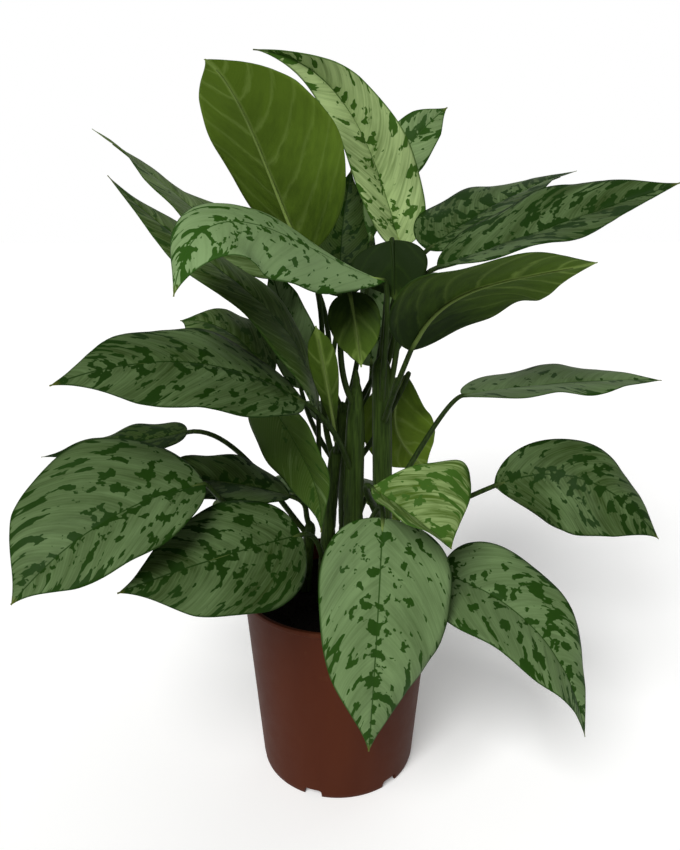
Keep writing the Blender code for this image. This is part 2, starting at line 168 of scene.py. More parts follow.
def rhythm(tree, run, spacing):
    """A pattern along a run that is 0 at every spacing and 1 halfway between."""
    turn = add(tree, "ShaderNodeMath", [run, spacing], operation="DIVIDE")
    turn = add(tree, "ShaderNodeMath", [turn, math.pi], operation="MULTIPLY")
    wave = add(tree, "ShaderNodeMath", [turn], operation="SINE")
    return add(tree, "ShaderNodeMath", [wave], operation="ABSOLUTE")


print("mid grey is", round(linear("#808080")[0], 3), "in linear light")

# %% [markdown]
# ## Light and floor
#
# The plant stood in front of plain white, and its light came from beside the camera: the
# leaves that face the viewer are the brightest, and the middle of the plant is nearly
# black. One wide lamp gives that light with soft edges, and a weak one behind keeps the
# far side from going black. The world is white behind the plant, but as a light it is
# dim, or it would fill the shadows that give the plant depth. A sun lamp with a wide
# angle lights the whole floor evenly, as a very large softbox does.

# %% Light and floor
FILL_STRENGTH = 0.24
BACKDROP_STRENGTH = 1.0
FLOOR_SIZE = 9000
FLOOR_GLOW = 0.13
LAMPS = {
    "key": dict(strength=2.9, angle=28, toward=(-0.4, -0.9, 0.95)),
    "back": dict(strength=0.5, angle=60, toward=(0.5, 0.9, 0.6)),
}

scene.view_settings.view_transform = "Standard"
world = bpy.data.worlds.new("white_room")
world.use_nodes = True
background = world.node_tree.nodes["Background"]
background.inputs["Color"].default_value = (1, 1, 1, 1)
seen = add(world.node_tree, "ShaderNodeLightPath").outputs["Is Camera Ray"]
strength = add(world.node_tree, "ShaderNodeMapRange",
               {"Value": seen, "To Min": FILL_STRENGTH, "To Max": BACKDROP_STRENGTH})
world.node_tree.links.new(strength.outputs[0], background.inputs["Strength"])
scene.world = world

for name, choices in LAMPS.items():
    glow = bpy.data.lights.new(name, "SUN")
    glow.angle = math.radians(choices["angle"])
    glow.energy = choices["strength"]
    lamp = placed(name, glow)
    lamp.location = choices["toward"]
    lamp.rotation_euler = lamp.location.to_track_quat("Z", "Y").to_euler()

bpy.ops.mesh.primitive_plane_add(size=FLOOR_SIZE * MM)
floor = bpy.context.object
floor.name = "floor"
paint = new_skin("pale_floor_paint", Roughness=0.9, Base_Color=linear("#fbfbfa"),
                 Emission_Color=(1, 1, 1, 1), Emission_Strength=FLOOR_GLOW)[0]
floor.data.materials.append(paint)
print(len(LAMPS), "lamps over a floor of", FLOOR_SIZE, "mm")

# %% [markdown]
# ## The leaf's own coordinates
#
# A painted image could show one leaf; a procedural pattern gives each leaf its own. It is
# drawn in the leaf's own coordinates, which the blade mesh carries as attributes in
# millimetres:
#
# - `vein_mm`: x counts the side veins (it stays the same all along one of them), y is the
#   distance from the midrib, and z is a number of the leaf's own;
# - `place`: how far along the blade, how far across it, and its half width there;
# - `tone`: how silvery, how blotched and how young the leaf is; its silvery part is set
#   low on leaves that sit in shade, which paints their shade.
#
# Both sides of a leaf read them, and both have the same fine veins and pores.

# %% Leaf coordinates
FINE_VEIN = 3.1
PORE = 0.6


def leaf_coordinates(tree):
    """The veins' vector, the parts of all three attributes, and the distance from the midrib."""
    vectors = [add(tree, "ShaderNodeAttribute", attribute_name=label).outputs["Vector"]
               for label in ("vein_mm", "place", "tone")]
    parts = [add(tree, "ShaderNodeSeparateXYZ", [vector]).outputs for vector in vectors]
    from_midrib = add(tree, "ShaderNodeMath", [parts[0]["Y"]], operation="ABSOLUTE")
    return vectors[0], *parts, from_midrib


def fine_relief(tree, vein, count, height):
    """The wave of the fine veins, and the relief that they make together with the pores."""
    beat = add(tree, "ShaderNodeMath", [count, 2 * math.pi / FINE_VEIN], operation="MULTIPLY")
    line = add(tree, "ShaderNodeMath", [beat], operation="SINE")
    pores = add(tree, "ShaderNodeVectorMath", [vein, (1 / PORE, 1 / PORE, 1)],
                operation="MULTIPLY")
    pore = add(tree, "ShaderNodeTexNoise", {"Vector": pores, "Scale": 1})
    relief = add(tree, "ShaderNodeMath", [line, height, pore], operation="MULTIPLY_ADD")
    return line, relief


print("fine veins every", FINE_VEIN, "mm and pores every", PORE, "mm")

# %% [markdown]
# ## The dark marks
#
# The blotches are crisp and dark. They lie along the side veins, crowd at the midrib and
# the margin, and differ on every leaf. Noise that is stretched along y lies along the
# veins, and a narrow Map Range makes its edge crisp. At the foot of the blade the noise
# lies straight across, and towards the tip it leans over with the side veins. Cells a
# spot apart draw it together, so that it breaks into spots of like size. The midrib and
# the margin are drawn as dark lines too.

# %% Dark marks
BLOTCH_WIDTH = 7
BLOTCH_LENGTH = 8
BLOTCH_EDGE = (0.585, 0.605)
SPOT_GAP = 13
SPOT_PULL = 0.3
FLECK_WIDTH = 3.2
FLECK_LENGTH = 3.8
FLECK_EDGE = (0.77, 0.79)


def dark_marks(tree, where):
    """How dark a point of the face is drawn, from 0 to 1."""
    _, vein_part, place_part, tone_part, from_midrib = where
    across = add(tree, "ShaderNodeMath", [place_part["Y"]], operation="ABSOLUTE")
    inward = add(tree, "ShaderNodeMath", [1.0, across], operation="SUBTRACT")
    from_margin = add(tree, "ShaderNodeMath", [inward, place_part["Z"]], operation="MULTIPLY")
    upright = add(tree, "ShaderNodeMapRange",
                  {"Value": place_part["X"], "From Min": 0.2, "To Min": 1.0, "To Max": 0.3})
    level = add(tree, "ShaderNodeMath", [from_midrib, upright, vein_part["X"]],
                operation="MULTIPLY_ADD")
    spot = add(tree, "ShaderNodeCombineXYZ", [level, vein_part["Y"], vein_part["Z"]])
    patterns = []
    for wide, long, choices in (
        (BLOTCH_WIDTH, BLOTCH_LENGTH, {"Detail": 2.6, "Distortion": 0.25}),
        (FLECK_WIDTH, FLECK_LENGTH, {"Distortion": 0.5}),
    ):
        sized = add(tree, "ShaderNodeVectorMath", [spot, (1 / wide, 1 / long, 1)],
                    operation="MULTIPLY")
        patterns.append(add(tree, "ShaderNodeTexNoise", {"Vector": sized, "Scale": 1, **choices}))
    blot, fleck = patterns

    # What fades with distance: the crowding at the midrib and the margin, and both lines.
    fades = []
    for distance, near, far, most in (
        (from_midrib, 0, 10, 0.075),
        (from_margin, 0, 6, 0.07),
        (from_midrib, 0.35, 0.8, 0.9),
        (from_margin, 0.5, 1.6, 0.85),
    ):
        fades.append(add(tree, "ShaderNodeMapRange",
                         {"Value": distance, "From Min": near, "From Max": far,
                          "To Min": most, "To Max": 0.0}))
    by_midrib, by_margin, *marks = fades

    # The cells draw the blotches together, and the leaf's own share lifts both patterns.
    ragged = add(tree, "ShaderNodeMath", [blot, SPOT_GAP * 0.6, level], operation="MULTIPLY_ADD")
    centre = add(tree, "ShaderNodeCombineXYZ", [ragged, vein_part["Y"], vein_part["Z"]])
    centre = add(tree, "ShaderNodeVectorMath", [centre, (1 / SPOT_GAP, 0.8 / SPOT_GAP, 1)],
                 operation="MULTIPLY")
    cell = add(tree, "ShaderNodeTexVoronoi", {"Vector": centre, "Scale": 1.0}).outputs["Distance"]
    blot = add(tree, "ShaderNodeMath", [cell, -SPOT_PULL, blot], operation="MULTIPLY_ADD")
    blot = add(tree, "ShaderNodeMath", [blot, SPOT_PULL * 0.5], operation="ADD")
    cover = add(tree, "ShaderNodeMath", [tone_part["Y"], 0.28, -0.14], operation="MULTIPLY_ADD")
    lift = by_midrib
    for more in (by_margin, cover):
        lift = add(tree, "ShaderNodeMath", [lift, more], operation="ADD")
    for pattern, (low, high) in ((blot, BLOTCH_EDGE), (fleck, FLECK_EDGE)):
        score = add(tree, "ShaderNodeMath", [pattern, lift], operation="ADD")
        marks.append(add(tree, "ShaderNodeMapRange",
                         {"Value": score, "From Min": low, "From Max": high}))
    dark = marks[0]
    for mark in marks[1:]:
        dark = add(tree, "ShaderNodeMath", [dark, mark], operation="MAXIMUM")
    return dark


print("blotches about", BLOTCH_LENGTH, "mm long and flecks about", FLECK_LENGTH, "mm")

# %% [markdown]
# ## The leaf's face
#
# The ground under the marks is silvery or deep green by leaf, clouded, and yellower on
# young leaves; on leaves that sit in shade it is held dark, which is painted shade. Soft
# strokes run along the side veins, strongest on young leaves. Fine veins are thin paler
# lines, and each side vein lies in a darker valley, which is painted shade. The drawn-out
# tip is yellowed and a little dry. The face is waxy, so it has a soft gloss, which is
# smoother in some clouds.

# %% Leaf face
CLOUD = 45
STROKE_WIDTH = 3.6
STROKE_LENGTH = 22
SIDE_VEIN = 17
FACE_WANDER = 8


def leaf_face():
    """The variegated upper face of a leaf."""
    skin, tree, shader = new_skin("variegated_leaf_face", Roughness=0.4, Specular_IOR_Level=0.04)
    where = leaf_coordinates(tree)
    vein, vein_part, place_part, (silver_and_painted_shade, _, youth), _ = where
    patterns = []
    for wide, long, choices in (
        (CLOUD, CLOUD, {"Detail": 4, "Roughness": 0.6}),
        (STROKE_WIDTH, STROKE_LENGTH, {"Detail": 3, "Distortion": 0.4}),
    ):
        sized = add(tree, "ShaderNodeVectorMath", [vein, (1 / wide, 1 / long, 1)],
                    operation="MULTIPLY")
        patterns.append(add(tree, "ShaderNodeTexNoise", {"Vector": sized, "Scale": 1, **choices}))
    cloud, stroke = patterns
    # The ground's lightness follows the leaf's first tone part: its own silveriness, set low as painted
    # shade on leaves that sit in shade.
    silver = add(tree, "ShaderNodeMath", [cloud, 0.9, -0.45], operation="MULTIPLY_ADD")
    silver = add(tree, "ShaderNodeMath", [silver, silver_and_painted_shade], operation="ADD")
    stroke = add(tree, "ShaderNodeMath", [stroke, 0.5], operation="SUBTRACT")
    depth = add(tree, "ShaderNodeMath", [youth, 1.5, 0.5], operation="MULTIPLY_ADD")
    stroke = add(tree, "ShaderNodeMath", [stroke, depth], operation="MULTIPLY")
    silver = add(tree, "ShaderNodeMath", [silver, stroke], operation="ADD", use_clamp=True)
    ground, fresh, deep = [
        add(tree, "ShaderNodeMix", {"Factor": share, "A": dark, "B": pale}, data_type="RGBA")
        for share, dark, pale in ((silver, "#2a3b16", "#769060"), (silver, "#46611a", "#b0c684"),
                                  (silver_and_painted_shade, "#132806", "#2a4c14"))]
    deep = add(tree, "ShaderNodeMix", {"Factor": youth, "A": deep, "B": "#3f6120"},
               data_type="RGBA")

    # The veins.
    line, relief = fine_relief(tree, vein, vein_part["X"], 0.1)
    faint = add(tree, "ShaderNodeMapRange", {"Value": line, "From Min": 0.3, "To Max": 0.05})
    wander = add(tree, "ShaderNodeMath", [cloud, FACE_WANDER, vein_part["X"]],
                 operation="MULTIPLY_ADD")
    fold = rhythm(tree, wander, SIDE_VEIN)
    # The darker valley along each side vein is painted shade, where the quilted blade dips.
    painted_vein_shade = add(tree, "ShaderNodeMapRange",
                 {"Value": fold, "From Max": 0.4, "To Min": 0.16, "To Max": 0.0})

    # The layers over the ground, from the lowest up.
    tip = add(tree, "ShaderNodeMapRange",
              {"Value": place_part["X"], "From Min": 0.96, "To Max": 0.6})
    gloss = add(tree, "ShaderNodeMapRange", {"Value": cloud, "To Min": 0.4, "To Max": 0.58})
    layers = ((youth, fresh), (faint, "#8fa574"), (painted_vein_shade, "#35501f"),
              (dark_marks(tree, where), deep), (tip, "#6d6f2a"))
    finish_skin(tree, shader, ground, layers, relief, strength=0.5, depth=0.12, gloss=gloss)
    return skin


LEAF_FACE = leaf_face()
print(LEAF_FACE.name, "has", len(LEAF_FACE.node_tree.nodes), "nodes")

# %% [markdown]
# ## The leaf's back
#
# Seen from below, the same leaf is plain olive green: the blotches hardly show through.
# What shows is the veins, which stand out there as paler lines, and a duller skin with no
# wax. So the back is a material of its own, in the same leaf coordinates.

# %% Leaf back
BACK_VEIN = 27
BACK_WANDER = 16
FADED_VEIN = 60
MIDRIB_EDGE = (0.8, 2.6)


def leaf_back():
    """The plain olive underside of a leaf, with its paler veins."""
    skin, tree, shader = new_skin("olive_leaf_back", Roughness=0.65, Specular_IOR_Level=0.06)
    vein, vein_part, place_part, tone_part, from_midrib = leaf_coordinates(tree)
    clouds = add(tree, "ShaderNodeVectorMath", [vein, (1 / BLOTCH_WIDTH, 1 / BLOTCH_LENGTH, 1)],
                 operation="MULTIPLY")
    cloud = add(tree, "ShaderNodeTexNoise",
                {"Vector": clouds, "Scale": 0.6, "Detail": 5, "Roughness": 0.6})

    # Clouded, lighter towards the tip, and as light as its own leaf, whose tone holds painted
    # shade on leaves that sit in shade.
    light = add(tree, "ShaderNodeMath", [cloud, 0.8, -0.4], operation="MULTIPLY_ADD")
    along = add(tree, "ShaderNodeMath", [place_part["X"], 0.5], operation="SUBTRACT")
    light = add(tree, "ShaderNodeMath", [light, along], operation="ADD")
    light = add(tree, "ShaderNodeMath", [light, tone_part["X"]], operation="ADD", use_clamp=True)
    olive, fresh, vein_green = [
        add(tree, "ShaderNodeMix", {"Factor": light, "A": dark, "B": pale}, data_type="RGBA")
        for dark, pale in (("#18270a", "#47601b"), ("#2c400a", "#6b8628"), ("#22340d", "#829a4c"))]

    # Side veins are soft paler bands that thin out towards the margin; the midrib is a
    # pale band of its own.
    wander = add(tree, "ShaderNodeMath", [cloud, BACK_WANDER, vein_part["X"]], operation="MULTIPLY_ADD")
    fold = rhythm(tree, wander, BACK_VEIN)
    side, taper, main = [
        add(tree, "ShaderNodeMapRange",
            {"Value": distance, "From Min": near, "From Max": far, "To Min": most, "To Max": least})
        for distance, near, far, most, least in ((fold, 0, 0.38, 0.6, 0.0),
                                                 (from_midrib, 0, FADED_VEIN, 1.0, 0.25),
                                                 (from_midrib, *MIDRIB_EDGE, 0.75, 0.0))]
    side = add(tree, "ShaderNodeMath", [side, taper], operation="MULTIPLY")
    pale = add(tree, "ShaderNodeMath", [side, main], operation="MAXIMUM")
    _, relief = fine_relief(tree, vein, vein_part["X"], 0.14)
    layers = ((tone_part["Z"], fresh), (pale, vein_green))
    finish_skin(tree, shader, olive, layers, relief, strength=0.6, depth=0.15)
    return skin


LEAF_BACK = leaf_back()
print(LEAF_BACK.name, "has", len(LEAF_BACK.node_tree.nodes), "nodes")

# %% [markdown]
# ## The skin of stalks and stems
#
# Leaf stalks and stems are the same soft green tissue: long streaks, paler at the foot
# where the stalk wraps the stem, darker and greyer further up. The streaks come from
# noise that is squeezed across and stretched along. Most stalks stand nearly upright, so
# plain object coordinates serve. Past the neck a stalk is the blade's midrib, and there
# it is as light as its leaf.

# %% Stalk and stem skin
STREAK_WIDTH = 1.6
STREAK_LENGTH = 30


def green_stem(name, dark, light, foot):
    """A streaked stem skin that turns to the foot's colour at its lower end."""
    skin, tree, shader = new_skin(name, Roughness=0.55, Specular_IOR_Level=0.08)
    spot = add(tree, "ShaderNodeTexCoord").outputs["Object"]
    grain = (1 / (STREAK_WIDTH * MM), 1 / (STREAK_WIDTH * MM), 1 / (STREAK_LENGTH * MM))
    stretch = add(tree, "ShaderNodeVectorMath", [spot, grain], operation="MULTIPLY")
    streak = add(tree, "ShaderNodeTexNoise",
                 {"Vector": stretch, "Scale": 1, "Detail": 3, "Roughness": 0.6})
    contrast = add(tree, "ShaderNodeMapRange", {"Value": streak, "From Min": 0.35, "From Max": 0.68})
    along = add(tree, "ShaderNodeAttribute", attribute_name="along").outputs["Fac"]
    low = add(tree, "ShaderNodeMapRange",
              {"Value": along, "From Max": 0.35, "To Min": 0.7, "To Max": 0.0})
    under = add(tree, "ShaderNodeMapRange",
                {"Value": along, "From Min": 1.0, "From Max": 1.08, "To Max": 0.9})
    tone = add(tree, "ShaderNodeAttribute", attribute_name="tone").outputs["Vector"]
    bright = add(tree, "ShaderNodeSeparateXYZ", [tone]).outputs["X"]
    streaked, rib = [
        add(tree, "ShaderNodeMix", {"Factor": share, "A": shade, "B": tint}, data_type="RGBA")
        for share, shade, tint in ((contrast, dark, light), (bright, "#1a290a", "#8ea656"))]
    gloss = add(tree, "ShaderNodeMapRange", {"Value": streak, "To Min": 0.48, "To Max": 0.68})
    layers = ((low, foot), (under, rib))
    finish_skin(tree, shader, streaked, layers, streak, strength=0.6, depth=0.3, gloss=gloss)
    return skin


STALK_SKIN = green_stem("leaf_stalk_skin", "#18250a", "#2c3e15", "#334517")
STEM_SKIN = green_stem("sheathed_stem_skin", "#1d2c0b", "#364a1a", "#303d1b")
print("streaks", STREAK_WIDTH, "mm wide on", STALK_SKIN.name, "and", STEM_SKIN.name)

# %% [markdown]
# ## Growing a mesh with Geometry Nodes
#
# Stalks, blades, stems and soil all follow rules, so each gets a Geometry Nodes tree with
# named inputs for its sizes. The tree is hung on a base object, its inputs are set before
# the object is first evaluated, and the result is taken off as a plain mesh. After that
# nothing live is left: the mesh can ride on a body and be exported.

# %% Tree helpers
MERGE = 0.002


def new_tree(name, inputs):
    """A Geometry Nodes tree with named inputs, its given outputs and its result input."""
    tree = bpy.data.node_groups.new(name, "GeometryNodeTree")
    for way in ("INPUT", "OUTPUT"):
        tree.interface.new_socket("Geometry", in_out=way, socket_type="NodeSocketGeometry")
    for label, (kind, value) in inputs.items():
        socket = tree.interface.new_socket(label, in_out="INPUT", socket_type="NodeSocket" + kind)
        if value is not None:
            socket.default_value = value
    given = tree.nodes.new("NodeGroupInput").outputs
    result = tree.nodes.new("NodeGroupOutput").inputs[0]
    return tree, given, result


def swept(tree, guide, sides):
    """A closed tube along a guide curve, as thick as the curve's radius says."""
    ring = add(tree, "GeometryNodeCurvePrimitiveCircle", {"Resolution": sides})
    thick = add(tree, "GeometryNodeInputRadius")
    return add(tree, "GeometryNodeCurveToMesh",
               {"Curve": guide, "Profile Curve": ring, "Scale": thick, "Fill Caps": True})


def taken(name, base):
    """The finished mesh of an object with live modifiers, as a piece; the object goes."""
    bpy.context.view_layer.update()
    graph = bpy.context.evaluated_depsgraph_get()
    mesh = bpy.data.meshes.new_from_object(base.evaluated_get(graph))
    mesh.name = name
    bpy.data.objects.remove(base)
    return placed(name, mesh)


def grown(name, base, tree, sizes):
    """The piece that a tree grows on a base object."""
    modifier = base.modifiers.new(tree.name, "NODES")
    modifier.node_group = tree
    labels = {item.name: item.identifier for item in tree.interface.items_tree if item.in_out == "INPUT"}
    for label, value in sizes.items():
        modifier[labels[label]] = value
    return taken(name, base)


def stand_for(piece, node):
    """Rides a piece on the plant's one body, in place of a plain solid."""
    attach(piece, "root")
    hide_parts(node)


def guide_curve(name, points, radii):
    """A curve object through the points, with a radius at each, for a tree to sweep."""
    curve = bpy.data.curves.new(name, "CURVE")
    curve.dimensions = "3D"
    run = curve.splines.new("POLY")
    run.points.add(len(points) - 1)
    for spot, point, radius in zip(run.points, points, radii):
        spot.co = (*(Vector(point) * MM), 1)
        spot.radius = radius * MM
    guide = placed(name, curve)
    guide.hide_render = True
    return guide


print("points closer than", MERGE, "mm are merged")

# %% [markdown]
# ## Where the stems stand and the leaves lie
#
# A plant has no drawing, only habits. Each leaf is set with a few values that a
# person can see: which stem it grows from and how high, the path of its midrib, its
# width, the way it faces, and how its halves rise and curl. The plain solids were made
# from the same values, so a finer leaf lies just where its solid is.

# %% Stems and leaves
LEAF_DEFAULTS = dict(
    leave=None, lean=38, roll=0, twist=0, fold=(12, 12), curl=20, widest=0.36,
    wave=2.5, sides=(1, 1), rise=40, reach=40, stalk=2.6, tone=(0.5, 0.5, 0),
)

# Each cane: the points its middle runs through, its radius at the foot and at the top,
# and whether it ends in a pointed sheath.
CANES = {
    "cane_right": dict(path=((38, -5, 118), (38, -5, 250), (35, -4, 386)),
                       radius=(9, 8), point=14),
    "cane_middle": dict(path=((11, -15, 118), (13, -15, 250), (15, -15, 376)),
                        radius=(9, 8), point=60),
    "cane_left": dict(path=((-14, 0, 118), (-9, -4, 220), (-1, -12, 312)),
                      radius=(7.5, 5.5), point=12),
    "cane_low": dict(path=((-31, 24, 118), (-29, 18, 180), (-24, 10, 232)),
                     radius=(6, 5.5), point=10),
    "cane_back": dict(path=((8, 38, 118), (8, 41, 220), (4, 43, 332)),
                      radius=(8.5, 7), point=14),
}

